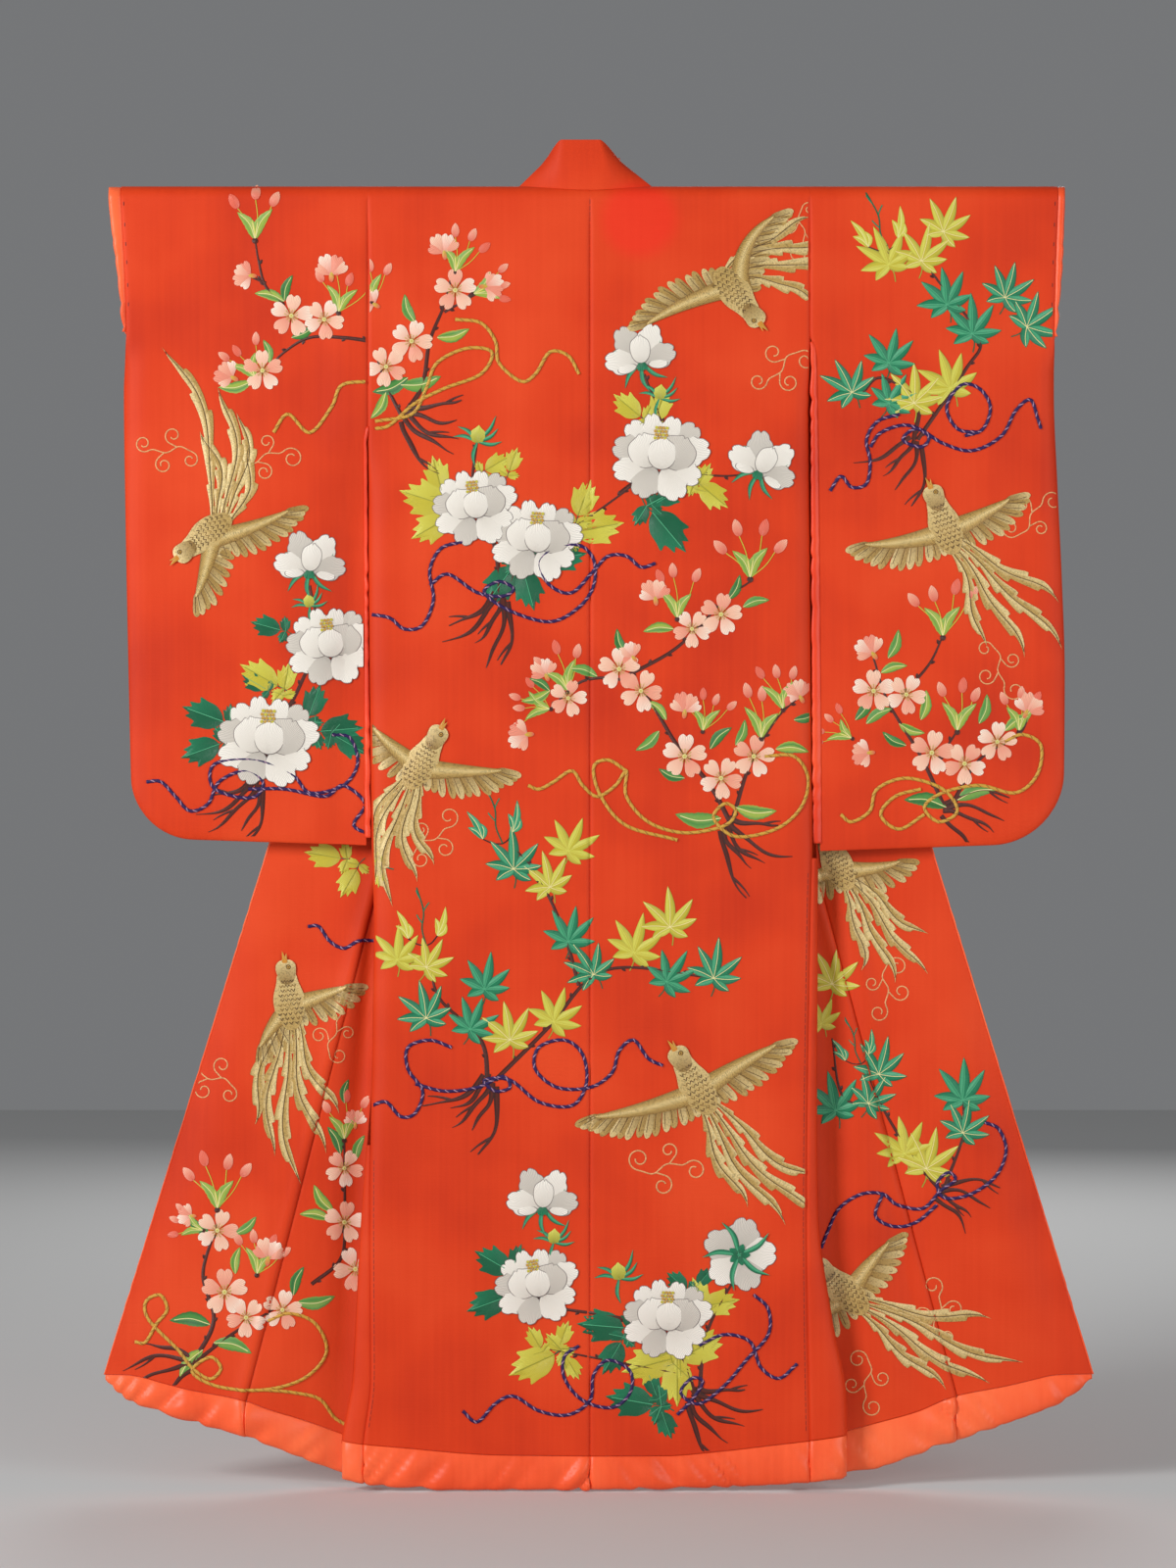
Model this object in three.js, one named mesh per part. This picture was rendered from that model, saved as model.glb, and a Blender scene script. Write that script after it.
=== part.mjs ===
// Furisode: a long-sleeved silk kimono, hung flat over a straight rod that passes through both sleeves.
// Millimetres, +Z up. The back of the garment faces -Y, and the wearer's left is at -X.
// The origin is the middle of the shoulder fold, where the rod carries the cloth.
// Each front is turned outwards along a slanting fold, so that its outer face looks to -Y as the back does.

import * as THREE from 'three';

// ---- cloth and seams ----

const CLOTH = 2;                 // outer silk and lining together
const HALF_CLOTH = CLOTH / 2;
const SEAM_GAP = 0.3;
const HALF_GAP = SEAM_GAP / 2;
const LAYER_GAP = 0.8;           // between two layers that lie on each other

// ---- depth of the hanging cloth ----

const ROD_HOLLOW = 18;           // half of the inner depth over the rod
const CREST_RADIUS = ROD_HOLLOW + HALF_CLOTH;
const CLOSE_WIDTH = 30;          // cloth that curves in to a closed edge
const TURNED_DEPTH = 25;         // where the turned fronts hang, behind everything else
const FOLD_BLEND = 45;           // cloth that leaves its plane to reach the turning fold
const FOLD_RUN = 500;            // height over which the turning fold draws away from the rod

const BODY_DEPTH = [
  { z: 0, half: ROD_HOLLOW },
  { z: -900, half: 13 },
  { z: -1750, half: 9 },
];
const SLEEVE_DEPTH = [
  { z: 0, half: ROD_HOLLOW },
  { z: -450, half: 11 },
  { z: -900, half: 5 },
];

// ---- neck and collar ----

const NECK = { left: 93, right: 81, dropAngle: 47, topLeft: 43, topRight: 22 };
const COLLAR_HEIGHT = 63;
const COLLAR_WIDTH = 70;         // measured level, along the slanting front
const COLLAR_END = -815;
const COLLAR_END_SLANT = 14;
const COLLAR_FRONT_TOP = COLLAR_HEIGHT - 20;
const COLLAR_TAIL_HEIGHTS = [-26, -60, -130];
const TURN_TOP = -189;           // the height where the turning fold leaves the neckline
const TURN_TUCK = 30;            // turned cloth that starts this far below the top of the fold
const OKUMI_TUCK = 20;           // the same for the overlap panel, below its point
const SIDE_OPENING = 130;        // open side of the body under the armhole
const SLEEVE_BLEND = 60;         // height over which a sleeve leaves the body or closes below the wrist
const SLEEVE_SEWN_WIDTH = 80;    // sleeve cloth held at the body's depth beside the armhole

// ---- outlines of the two sides, in distances from the centre seam ----
// side: body side seam. strip: front cloth that shows past the side seam, as a width.
// okumi: seam between front body and overlap panel. edge: the free front edge.

const SIDES = {
  left: {
    sign: -1,
    neck: NECK.left,
    collarTop: 34,
    armhole: -324,
    turnHem: 285,
    stripTop: -1320,
    side: [
      { z: 0, x: 305 },
      { z: -324, x: 305 },
      { z: -907, x: 300 },
      { z: -1000, x: 297 },
      { z: -1420, x: 302 },
      { z: -1640, x: 301 },
      { z: -1735, x: 312 },
      { z: -1790, x: 316 },
    ],
    strip: [
      { z: -1228, w: 0 },
      { z: -1417, w: 12 },
      { z: -1633, w: 25 },
      { z: -1721, w: 30 },
      { z: -1790, w: 27 },
    ],
    okumi: { z: -987, x: 300, slope: 0.256 },
    edge: { z: -917, x: 445, slope: 0.312 },
    hem: [
      { x: 0, seam: -1747, bottom: -1793 },
      { x: 125, seam: -1746, bottom: -1793.5 },
      { x: 167, seam: -1744, bottom: -1794 },
      { x: 244, seam: -1737, bottom: -1791 },
      { x: 312, seam: -1731, bottom: -1785 },
      { x: 343, seam: -1727, bottom: -1779 },
    ],
    turnedHem: [
      { x: 285, seam: -1740, bottom: -1788 },
      { x: 343, seam: -1721, bottom: -1777 },
      { x: 400, seam: -1701, bottom: -1756 },
      { x: 444, seam: -1687, bottom: -1737 },
      { x: 477, seam: -1675, bottom: -1725 },
      { x: 566, seam: -1659, bottom: -1700 },
      { x: 604, seam: -1650, bottom: -1688 },
      { x: 634, seam: -1643, bottom: -1678 },
      { x: 652, seam: -1641, bottom: -1666 },
      { x: 671, seam: -1641, bottom: -1647 },
    ],
    sleeve: {
      inner: [{ z: 0, x: 305 }, { z: -324, x: 305 }, { z: -350, x: 309 }, { z: -907, x: 308 }],
      outer: [
        { z: 0, x: 645 },
        { z: -203, x: 637 },
        { z: -284, x: 641 },
        { z: -440, x: 639 },
        { z: -697, x: 634 },
        { z: -907, x: 629 },
      ],
      bottomInner: -907,
      bottomOuter: -896,
      corner: 82,
      wrist: -203,
      wristRoll: [{ z: 0, w: 17 }, { z: -14, w: 17 }, { z: -128, w: 10 }, { z: -203, w: 5 }],
    },
  },
  right: {
    sign: 1,
    neck: NECK.right,
    collarTop: 22,
    armhole: -203,
    turnHem: 280,
    stripTop: -925,
    side: [
      { z: 0, x: 302 },
      { z: -203, x: 302 },
      { z: -907, x: 305 },
      { z: -1000, x: 303 },
      { z: -1420, x: 298 },
      { z: -1725, x: 302 },
      { z: -1790, x: 305 },
    ],
    strip: [
      { z: -880, w: 4 },
      { z: -913, w: 8 },
      { z: -1417, w: 16 },
      { z: -1560, w: 34 },
      { z: -1674, w: 52 },
      { z: -1790, w: 50 },
    ],
    okumi: { z: -956, x: 316, slope: 0.267 },
    edge: { z: -909, x: 470, slope: 0.307 },
    hem: [
      { x: 0, seam: -1747, bottom: -1793 },
      { x: 100, seam: -1747, bottom: -1791.5 },
      { x: 178, seam: -1741, bottom: -1789.5 },
      { x: 246, seam: -1733, bottom: -1787 },
      { x: 305, seam: -1726, bottom: -1783 },
      { x: 355, seam: -1719, bottom: -1777 },
    ],
    turnedHem: [
      { x: 280, seam: -1735, bottom: -1788 },
      { x: 339, seam: -1720, bottom: -1777 },
      { x: 398, seam: -1705, bottom: -1769 },
      { x: 447, seam: -1692, bottom: -1752 },
      { x: 505, seam: -1670, bottom: -1731 },
      { x: 586, seam: -1654, bottom: -1703 },
      { x: 622, seam: -1646, bottom: -1690 },
      { x: 652, seam: -1640, bottom: -1677 },
      { x: 674, seam: -1639, bottom: -1662 },
      { x: 693, seam: -1639, bottom: -1645 },
    ],
    sleeve: {
      inner: [
        { z: 0, x: 302 },
        { z: -203, x: 302 },
        { z: -230, x: 309 },
        { z: -650, x: 315 },
        { z: -915, x: 317 },
      ],
      outer: [
        { z: 0, x: 643 },
        { z: -203, x: 638 },
        { z: -284, x: 638 },
        { z: -413, x: 643 },
        { z: -541, x: 649 },
        { z: -671, x: 653 },
        { z: -915, x: 651 },
      ],
      bottomInner: -915,
      bottomOuter: -903,
      corner: 96,
      wrist: -203,
      wristRoll: [{ z: 0, w: 10 }, { z: -94, w: 10 }, { z: -203, w: 4 }],
    },
  },
};

// ---- grids ----
// Columns are shares across a panel. Rows lie at shared heights, so that neighbours meet along the same lines.

const CREST_STEPS = 3;                    // steps from the fold line down to the hanging cloth
const QUARTER = 90;                       // degrees round the rod from the top to the side
const LEVELS = [-60, -130, -203, -264, -324, -454, -620, -815, -925, -1060, -1228, -1320, -1417, -1560, -1640];
const BACK_COLUMNS = [0, 0.1, 0.2, 0.3, 0.45, 0.62, 0.78, 0.9, 0.96, 1];
const HANGING_COLUMNS = [0, 0.05, 0.12, 0.3, 0.55, 0.8, 0.92, 1];
const STRIP_COLUMNS = [0, 0.5, 1];
const TURNED_COLUMNS = [0, 0.25, 0.5, 0.75, 1];
const OKUMI_COLUMNS = [0, 0.2, 0.4, 0.6, 0.76, 0.88, 0.96, 1];
const COLLAR_COLUMNS = [0, 0.5, 1];
const COLLAR_BACK_COLUMNS = [0, 0.1, 0.2, 0.3, 0.4, 0.5, 0.6, 0.7, 0.8, 0.9, 1];
const SLEEVE_COLUMNS = [0, 0.12, 0.3, 0.5, 0.68];
const SLEEVE_CORNER_ANGLES = [0, 22.5, 45, 67.5, 80, 90];
const SLEEVE_LAST_LEVEL = -740;
const SLEEVE_BOTTOM_ROWS = [0, 0.5, 0.8, 0.93, 1];
const ROW_CLEARANCE = { top: 15, bottom: 40 };   // no shared row this close to a panel's own edge
const BODY_LOWEST = -1700;                // the panels' hems lie below these heights
const TURNED_LOWEST = -1660;
const HEM_MIDDLE = 4;                     // row of the hem tables that stands for a panel's whole hem

// ---- soft waves of the hanging cloth ----

const WAVES = { back: 2.5, turned: 5, sleeve: 1.5 };
const WAVE_WIDTH = 70;
const WAVE_HEIGHT = 420;
const WAVE_RUN = 600;            // height over which the waves grow to their full size
const TURNED_WAVE_START = 300;   // the turned fronts lie still up to here, and wave fully one run further out
const TURNED_WAVE_RUN = 200;

// ---- rolled lining edges ----
// A section goes round the wadded edge: down is a share of its height, out a share of its half thickness.

const ROLL_SECTION = [
  { down: 0, out: -0.14 },
  { down: 0.22, out: -0.62 },
  { down: 0.55, out: -1 },
  { down: 0.85, out: -0.78 },
  { down: 1, out: 0 },
  { down: 0.85, out: 0.78 },
  { down: 0.55, out: 1 },
  { down: 0.22, out: 0.62 },
  { down: 0, out: 0.14 },
];
const HEM_HALF_THICKNESS = 7;
const HEM_HEIGHT_FULL = 46;      // a lower roll is thinner, down to the thin share
const HEM_THIN_SHARE = 0.1;
const HIDDEN_HALF_THICKNESS = 4;
const WRIST_HALF_THICKNESS = 3.5;
const WRIST_FIRST_ROW = 0.3;     // the wrist roll starts just off the fold line
const WRIST_END_ROOM = 10;
const SLIT_ROLL_WIDTH = 5;
const SLIT_HALF_THICKNESS = 2.4;

const SILK = new THREE.MeshStandardMaterial({ name: 'silk_red', color: 0xd8492c, roughness: 0.55, metalness: 0 });
const LINING = new THREE.MeshStandardMaterial({ name: 'silk_lining', color: 0xf0623c, roughness: 0.6, metalness: 0 });

// ---- small helpers ----

const clamp01 = (value) => Math.min(1, Math.max(0, value));
const mix = (from, to, share) => from + (to - from) * share;
const smooth = (share) => share * share * (3 - 2 * share);

// Reads a column of a table by straight lines between its rows.
function read(table, key, column, at) {
  const rising = table[1][key] > table[0][key];
  let row = 0;
  while (row < table.length - 2 && (rising ? at > table[row + 1][key] : at < table[row + 1][key])) row += 1;
  const share = clamp01((at - table[row][key]) / (table[row + 1][key] - table[row][key]));
  return mix(table[row][column], table[row + 1][column], share);
}

// A curve that rises from 0 at a closed edge to 1 where the cloth is flat again.
function bulge(distance) {
  const share = 1 - clamp01(distance / CLOSE_WIDTH);
  return Math.sqrt(1 - share * share);
}

// Half depth of cloth that goes over the rod and then hangs.
function hangingDepth(depths, z) {
  const below = -HALF_CLOTH - z;
  if (below < CREST_RADIUS) return Math.sqrt(Math.max(0, CREST_RADIUS ** 2 - (CREST_RADIUS - below) ** 2));
  return read(depths, 'z', 'half', z) + HALF_CLOTH;
}

const crestZ = (degrees) => -HALF_CLOTH - CREST_RADIUS * (1 - Math.cos(THREE.MathUtils.degToRad(degrees)));

// ---- solids ----

function solidFrom(name, points, faces, material) {
  const geometry = new THREE.BufferGeometry();
  geometry.setAttribute('position', new THREE.Float32BufferAttribute(points.flatMap((p) => [p.x, p.y, p.z]), 3));
  const volume = faces.reduce((sum, [a, b, c]) => sum + points[a].dot(points[b].clone().cross(points[c])), 0);
  const outward = volume < 0 ? faces.map(([a, b, c]) => [a, c, b]) : faces;
  geometry.setIndex(outward.flat());
  geometry.computeVertexNormals();
  const mesh = new THREE.Mesh(geometry, material);
  mesh.name = name;
  return mesh;
}

// A cloth wall: the middle surface(u, row) is moved out by half the cloth on both sides, and its rim is closed.
function wall(name, columns, surface, limit, material = SILK) {
  const step = 1e-3;
  const rows = Array.from({ length: surface.rows }, (_, row) => row);
  const middle = (u, v) => surface.at(clamp01(u), Math.min(surface.rows - 1, Math.max(0, v)));
  const points = [];
  for (const side of [1, -1]) {
    for (const v of rows) {
      for (const u of columns) {
        const along = middle(u + step, v).sub(middle(u - step, v));
        const down = middle(u, v + step).sub(middle(u, v - step));
        const normal = along.cross(down).normalize();
        points.push(limit(middle(u, v).addScaledVector(normal, side * HALF_CLOTH)));
      }
    }
  }
  const across = columns.length;
  const layer = across * rows.length;
  const at = (side, i, j) => side * layer + j * across + i;
  const faces = [];
  const quad = (a, b, c, d) => faces.push([a, b, c], [a, c, d]);
  for (let j = 0; j < rows.length - 1; j += 1) {
    for (let i = 0; i < across - 1; i += 1) {
      quad(at(0, i, j), at(0, i + 1, j), at(0, i + 1, j + 1), at(0, i, j + 1));
      faces.push([at(1, i, j), at(1, i + 1, j + 1), at(1, i + 1, j)]);
      faces.push([at(1, i, j), at(1, i, j + 1), at(1, i + 1, j + 1)]);
    }
  }
  const last = { i: across - 1, j: rows.length - 1 };
  for (let i = 0; i < last.i; i += 1) {
    quad(at(0, i + 1, 0), at(0, i, 0), at(1, i, 0), at(1, i + 1, 0));
    quad(at(0, i, last.j), at(0, i + 1, last.j), at(1, i + 1, last.j), at(1, i, last.j));
  }
  for (let j = 0; j < last.j; j += 1) {
    quad(at(0, 0, j), at(0, 0, j + 1), at(1, 0, j + 1), at(1, 0, j));
    quad(at(0, last.i, j + 1), at(0, last.i, j), at(1, last.i, j), at(1, last.i, j + 1));
  }
  return solidFrom(name, points, faces, material);
}

// A wadded edge: one loop of points at each station, joined along and closed at both ends.
function roll(name, loops, material = LINING) {
  const size = loops[0].length;
  const points = loops.flat();
  const faces = [];
  for (let s = 0; s < loops.length - 1; s += 1) {
    for (let k = 0; k < size; k += 1) {
      const next = (k + 1) % size;
      const [a, b] = [s * size + k, s * size + next];
      faces.push([a, b, b + size], [a, b + size, a + size]);
    }
  }
  const lastLoop = (loops.length - 1) * size;
  for (let k = 1; k < size - 1; k += 1) {
    faces.push([0, k + 1, k], [lastLoop, lastLoop + k, lastLoop + k + 1]);
  }
  return solidFrom(name, points, faces, material);
}

// Limits that keep touching layers on their own side.
const behindMiddle = (p) => p.setY(Math.min(p.y, -HALF_GAP));
const beforeMiddle = (p) => p.setY(Math.max(p.y, HALF_GAP));
const anywhere = (p) => p;
const turnedNear = TURNED_DEPTH - HEM_HALF_THICKNESS - LAYER_GAP;
const betweenLayers = (p) => p.setY(Math.min(turnedNear, Math.max(p.y, HALF_GAP)));

// ---- lines of one side ----

function linesOf(side) {
  const edge = (z) => side.edge.x + side.edge.slope * (side.edge.z - z);
  const collarEndX = side.edge.x - side.edge.slope * (COLLAR_END - side.edge.z);
  const collarSlope = (collarEndX - side.collarTop) / (COLLAR_HEIGHT - COLLAR_END);
  const collarOut = (z) => side.collarTop + collarSlope * (COLLAR_HEIGHT - z);
  const collarSeam = (z) => collarOut(z) - COLLAR_WIDTH;
  const okumi = (z) => side.okumi.x + side.okumi.slope * (side.okumi.z - z);
  const turnTopX = collarSeam(TURN_TOP);
  const turnSlope = (side.turnHem - turnTopX) / (TURN_TOP - side.turnedHem[0].seam);
  const turn = (z) => turnTopX + turnSlope * (TURN_TOP - z);
  const okumiTop = (side.okumi.x + side.okumi.slope * side.okumi.z - side.collarTop - collarSlope * COLLAR_HEIGHT
    + COLLAR_WIDTH) / (side.okumi.slope - collarSlope);
  return {
    collarOut,
    collarSeam,
    okumi,
    edge,
    turn,
    okumiTop,
    sideSeam: (z) => read(side.side, 'z', 'x', z),
    sideFold: (z) => read(side.side, 'z', 'x', z) + read(side.strip, 'z', 'w', z),
    neckline: (z) => mix(side.neck, turnTopX, clamp01(z / TURN_TOP)),
  };
}

// Closed share of the body side: open down to the armhole, then drawn together below the side opening.
const sideClosed = (side, z) => smooth(clamp01((side.armhole - z) / SIDE_OPENING));

function bodyDepth(side, lines, x, z) {
  const depth = hangingDepth(BODY_DEPTH, z);
  const shut = HALF_GAP + HALF_CLOTH + (depth - HALF_CLOTH) * bulge(lines.sideFold(z) - x);
  return mix(depth, shut, sideClosed(side, z));
}

// Angle round the rod at which the back neckline lies.
const neckAngle = (x, neck) => NECK.dropAngle * Math.max(0, 1 - (x / neck) ** 2);

const wave = (x, z, size) => size * Math.sin(x / WAVE_WIDTH + z / WAVE_HEIGHT) * clamp01(-z / WAVE_RUN);

// ---- body ----

// Heights of a panel's rows between its own top and bottom edges, with the shared levels between them.
function levelsBetween(top, bottom, own = []) {
  const kept = (z) => z < top - ROW_CLEARANCE.top && z > bottom + ROW_CLEARANCE.bottom;
  return [...LEVELS, ...own].sort((a, b) => b - a).filter(kept);
}
function heightAt(heights, row) {
  const above = Math.min(heights.length - 2, Math.floor(row));
  return mix(heights[above], heights[above + 1], row - above);
}
// The same for a panel that starts round the rod, whose first rows are set by their angle.
function crestedHeight(heights, startAngle, row) {
  if (row < CREST_STEPS) return crestZ(mix(startAngle, QUARTER, row / CREST_STEPS));
  return heightAt(heights, row - CREST_STEPS);
}

function backSurface(side) {
  const lines = linesOf(side);
  const levels = levelsBetween(crestZ(QUARTER), BODY_LOWEST);
  const at = (u, row) => {
    const hemX = u * (lines.sideSeam(side.hem[HEM_MIDDLE].seam) - HALF_GAP);
    const angle = neckAngle(hemX, side.neck);
    const hem = read(side.hem, 'x', 'seam', hemX) + HALF_GAP;
    const z = crestedHeight([crestZ(QUARTER), ...levels, hem], angle, row);
    const x = mix(HALF_GAP, lines.sideSeam(z) - HALF_GAP, u);
    const turned = THREE.MathUtils.degToRad(mix(angle, QUARTER, row / CREST_STEPS));
    const depth = row < CREST_STEPS
      ? Math.max(HALF_GAP, CREST_RADIUS * Math.sin(turned))
      : bodyDepth(side, lines, x, z) + wave(x, z, WAVES.back) * (1 - u);
    return new THREE.Vector3(side.sign * x, -depth, z);
  };
  return { at, rows: CREST_STEPS + levels.length + 2 };
}

function hangingSurface(side) {
  const lines = linesOf(side);
  const hem = side.hem[HEM_MIDDLE].seam + HALF_GAP;
  const heights = [crestZ(QUARTER), ...levelsBetween(crestZ(QUARTER), BODY_LOWEST), hem];
  const nearFold = TURNED_DEPTH - CLOTH - LAYER_GAP;
  const at = (u, row) => {
    const z = crestedHeight(heights, 0, row);
    const inner = (z > TURN_TOP ? lines.neckline(z) : lines.turn(z)) + HALF_GAP;
    const outer = z < side.armhole ? lines.sideFold(z) : lines.sideSeam(z) - HALF_GAP;
    const x = mix(outer, inner, u);
    const depth = row < CREST_STEPS
      ? Math.max(HALF_GAP, hangingDepth(BODY_DEPTH, z))
      : bodyDepth(side, lines, x, z);
    const reach = smooth(clamp01(1 - (x - inner) / FOLD_BLEND)) * clamp01(-z / FOLD_RUN);
    return new THREE.Vector3(side.sign * x, mix(depth, nearFold, reach), z);
  };
  return { at, rows: CREST_STEPS + heights.length };
}

// The front cloth between the side seam and the outer fold, which still lies with the back.
function stripSurface(side) {
  const lines = linesOf(side);
  const levels = levelsBetween(side.stripTop, BODY_LOWEST);
  const at = (u, row) => {
    const hemX = mix(lines.sideSeam(side.hem[HEM_MIDDLE].seam), lines.sideFold(side.hem[HEM_MIDDLE].seam), u);
    const z = heightAt([side.stripTop, ...levels, read(side.hem, 'x', 'seam', hemX) + HALF_GAP], row);
    const x = mix(lines.sideSeam(z) + HALF_GAP, lines.sideFold(z), u);
    return new THREE.Vector3(side.sign * x, -bodyDepth(side, lines, x, z), z);
  };
  return { at, rows: levels.length + 2 };
}

// ---- turned fronts, which lie behind the body and the sleeves ----

function turnedPoint(side, x, z) {
  const moving = clamp01((x - TURNED_WAVE_START) / TURNED_WAVE_RUN);
  return new THREE.Vector3(side.sign * x, TURNED_DEPTH + wave(x, z, WAVES.turned) * moving, z);
}

function turnedSurface(side, top, inner, outer, own = []) {
  const levels = levelsBetween(top, TURNED_LOWEST, own);
  const hemSeam = side.turnedHem[HEM_MIDDLE].seam;
  const at = (u, row) => {
    const hemX = mix(inner(hemSeam), outer(hemSeam), u);
    const z = heightAt([top, ...levels, read(side.turnedHem, 'x', 'seam', hemX) + HALF_GAP], row);
    return turnedPoint(side, mix(inner(z) + HALF_GAP, outer(z) - HALF_GAP, u), z);
  };
  return { at, rows: levels.length + 2 };
}

function frontTurnedSurface(side) {
  const lines = linesOf(side);
  const outer = (z) => (z > lines.okumiTop ? lines.collarSeam(z) : lines.okumi(z));
  return turnedSurface(side, TURN_TOP - TURN_TUCK, lines.turn, outer);
}

function okumiSurface(side) {
  const lines = linesOf(side);
  const outer = (z) => {
    const cut = clamp01((COLLAR_END + COLLAR_END_SLANT - z) / COLLAR_END_SLANT);
    return mix(lines.collarSeam(z), lines.edge(z) + HALF_GAP, cut);
  };
  return turnedSurface(side, lines.okumiTop - OKUMI_TUCK, lines.okumi, outer, [COLLAR_END + COLLAR_END_SLANT]);
}

function collarFrontSurface(side) {
  const lines = linesOf(side);
  const inner = (z) => (z > TURN_TOP ? lines.turn(z) : lines.collarSeam(z));
  const levels = LEVELS.filter((z) => z > COLLAR_END + ROW_CLEARANCE.bottom);
  const at = (u, row) => {
    const end = COLLAR_END + COLLAR_END_SLANT * (1 - u) + SEAM_GAP;
    const z = heightAt([COLLAR_FRONT_TOP, 0, ...levels, end], row);
    return turnedPoint(side, mix(inner(z) + HALF_GAP, lines.collarOut(z), u), z);
  };
  return { at, rows: levels.length + 3 };
}

// ---- collar round the neck ----

// The band stands on the back neckline and leans forward at both shoulders.
const COLLAR_FLAT_SHARE = 0.45;
const COLLAR_LEAN = { backDepth: -9, frontDepth: 9, lowShare: 0.6, inShare: 0.4, curve: 1.5 };
const COLLAR_BACK_ROWS = 4;
const collarBack = {
  rows: COLLAR_BACK_ROWS,
  at(u, row) {
    const across = mix(-NECK.left + 1, NECK.right - 1, u);
    const angle = THREE.MathUtils.degToRad(neckAngle(Math.abs(across), across < 0 ? NECK.left : NECK.right));
    const rise = SEAM_GAP + HALF_CLOTH * Math.sin(angle);
    const drop = CREST_RADIUS * (1 - Math.cos(angle));
    const seam = new THREE.Vector3(across, -CREST_RADIUS * Math.sin(angle), rise - drop);
    const spread = 2 * u - 1;
    const lean = clamp01((Math.abs(spread) - COLLAR_FLAT_SHARE) / (1 - COLLAR_FLAT_SHARE));
    const topHalf = spread < 0 ? NECK.topLeft : NECK.topRight;
    const shoulder = spread < 0 ? NECK.left : NECK.right;
    const flat = Math.min(1, Math.abs(spread) / COLLAR_FLAT_SHARE) * topHalf;
    const free = new THREE.Vector3(
      Math.sign(spread) * mix(flat, mix(topHalf, shoulder, COLLAR_LEAN.inShare), lean),
      mix(COLLAR_LEAN.backDepth, COLLAR_LEAN.frontDepth, lean),
      mix(COLLAR_HEIGHT, COLLAR_HEIGHT * COLLAR_LEAN.lowShare, lean ** COLLAR_LEAN.curve));
    return seam.lerp(free, row / (COLLAR_BACK_ROWS - 1));
  },
};

// The band's short tail in front of the shoulder, between the neckline and the turning fold.
function collarTailSurface(side) {
  const lines = linesOf(side);
  const at = (u, row) => {
    const z = heightAt(COLLAR_TAIL_HEIGHTS, row);
    const x = mix(lines.neckline(z) - HALF_GAP, lines.turn(z) + HALF_GAP, u);
    const depth = Math.min(hangingDepth(BODY_DEPTH, z), TURNED_DEPTH - CLOTH - LAYER_GAP);
    return new THREE.Vector3(side.sign * x, depth, z);
  };
  return { at, rows: COLLAR_TAIL_HEIGHTS.length };
}

// ---- sleeves ----

function sleeveShape(side) {
  const { sleeve } = side;
  const levels = LEVELS.filter((z) => z > SLEEVE_LAST_LEVEL);
  const outerLow = read(sleeve.outer, 'z', 'x', sleeve.bottomOuter);
  const innerLow = read(sleeve.inner, 'z', 'x', sleeve.bottomInner);
  const bottomAt = (u) => {
    const fromCorner = Math.max(0, sleeve.corner - (outerLow - innerLow) * (1 - u));
    return mix(sleeve.bottomInner, sleeve.bottomOuter, u)
      + sleeve.corner - Math.sqrt(sleeve.corner ** 2 - fromCorner ** 2);
  };
  const depthAt = (x, z, innerX, outerX, bottom) => {
    const hang = hangingDepth(SLEEVE_DEPTH, z);
    const atBody = hangingDepth(BODY_DEPTH, z);
    const sewnHeight = clamp01((z - side.armhole + SLEEVE_BLEND) / SLEEVE_BLEND);
    const sewnToBody = smooth(clamp01(1 - (x - innerX) / SLEEVE_SEWN_WIDTH)) * sewnHeight;
    const depth = mix(hang, atBody, sewnToBody);
    const closed = smooth(clamp01((sleeve.wrist - z) / SLEEVE_BLEND));
    const inside = bulge(z - bottom) * mix(1, bulge(outerX - x), closed);
    return HALF_GAP + HALF_CLOTH + (depth - HALF_CLOTH) * inside + wave(x - innerX, z, WAVES.sleeve) * inside;
  };
  const at = (u, row) => {
    const bottom = bottomAt(u);
    const low = SLEEVE_BOTTOM_ROWS.map((share) => mix(SLEEVE_LAST_LEVEL, bottom, share));
    const z = crestedHeight([crestZ(QUARTER), ...levels, ...low], 0, row);
    const innerX = read(sleeve.inner, 'z', 'x', z) + HALF_GAP;
    const outerX = read(sleeve.outer, 'z', 'x', z);
    const x = mix(innerX, outerX, u);
    const depth = row < CREST_STEPS ? Math.max(HALF_GAP, hangingDepth(SLEEVE_DEPTH, z))
      : depthAt(x, z, innerX, outerX, bottom);
    return { x, z, depth };
  };
  return { at, rows: CREST_STEPS + 1 + levels.length + SLEEVE_BOTTOM_ROWS.length, levels, innerLow, outerLow };
}

function sleeveColumns(side) {
  const { outerLow, innerLow } = sleeveShape(side);
  const corner = SLEEVE_CORNER_ANGLES.map((a) => {
    const fromEdge = side.sleeve.corner * (1 - Math.sin(THREE.MathUtils.degToRad(a)));
    return 1 - fromEdge / (outerLow - innerLow);
  });
  return [...SLEEVE_COLUMNS, ...corner];
}

function sleeveSurface(side, facing) {
  const shape = sleeveShape(side);
  const at = (u, row) => {
    const { x, z, depth } = shape.at(u, row);
    return new THREE.Vector3(side.sign * x, facing * depth, z);
  };
  return { at, rows: shape.rows };
}

// ---- rolled edges ----

// Hem roll under a panel's bottom edge, one loop at each of its columns; limit keeps it off the next layer.
function hemRoll(name, side, surface, columns, hemTable, halfThickness, limit) {
  const loops = columns.map((u) => {
    const top = surface.at(u, surface.rows - 1);
    top.z -= SEAM_GAP;
    const height = top.z - read(hemTable, 'x', 'bottom', side.sign * top.x);
    const half = halfThickness * Math.min(1, height / HEM_HEIGHT_FULL + HEM_THIN_SHARE);
    return ROLL_SECTION.map(({ down, out }) => limit(
      new THREE.Vector3(top.x, top.y + out * half, top.z - down * height)));
  });
  return roll(name, loops);
}

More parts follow.
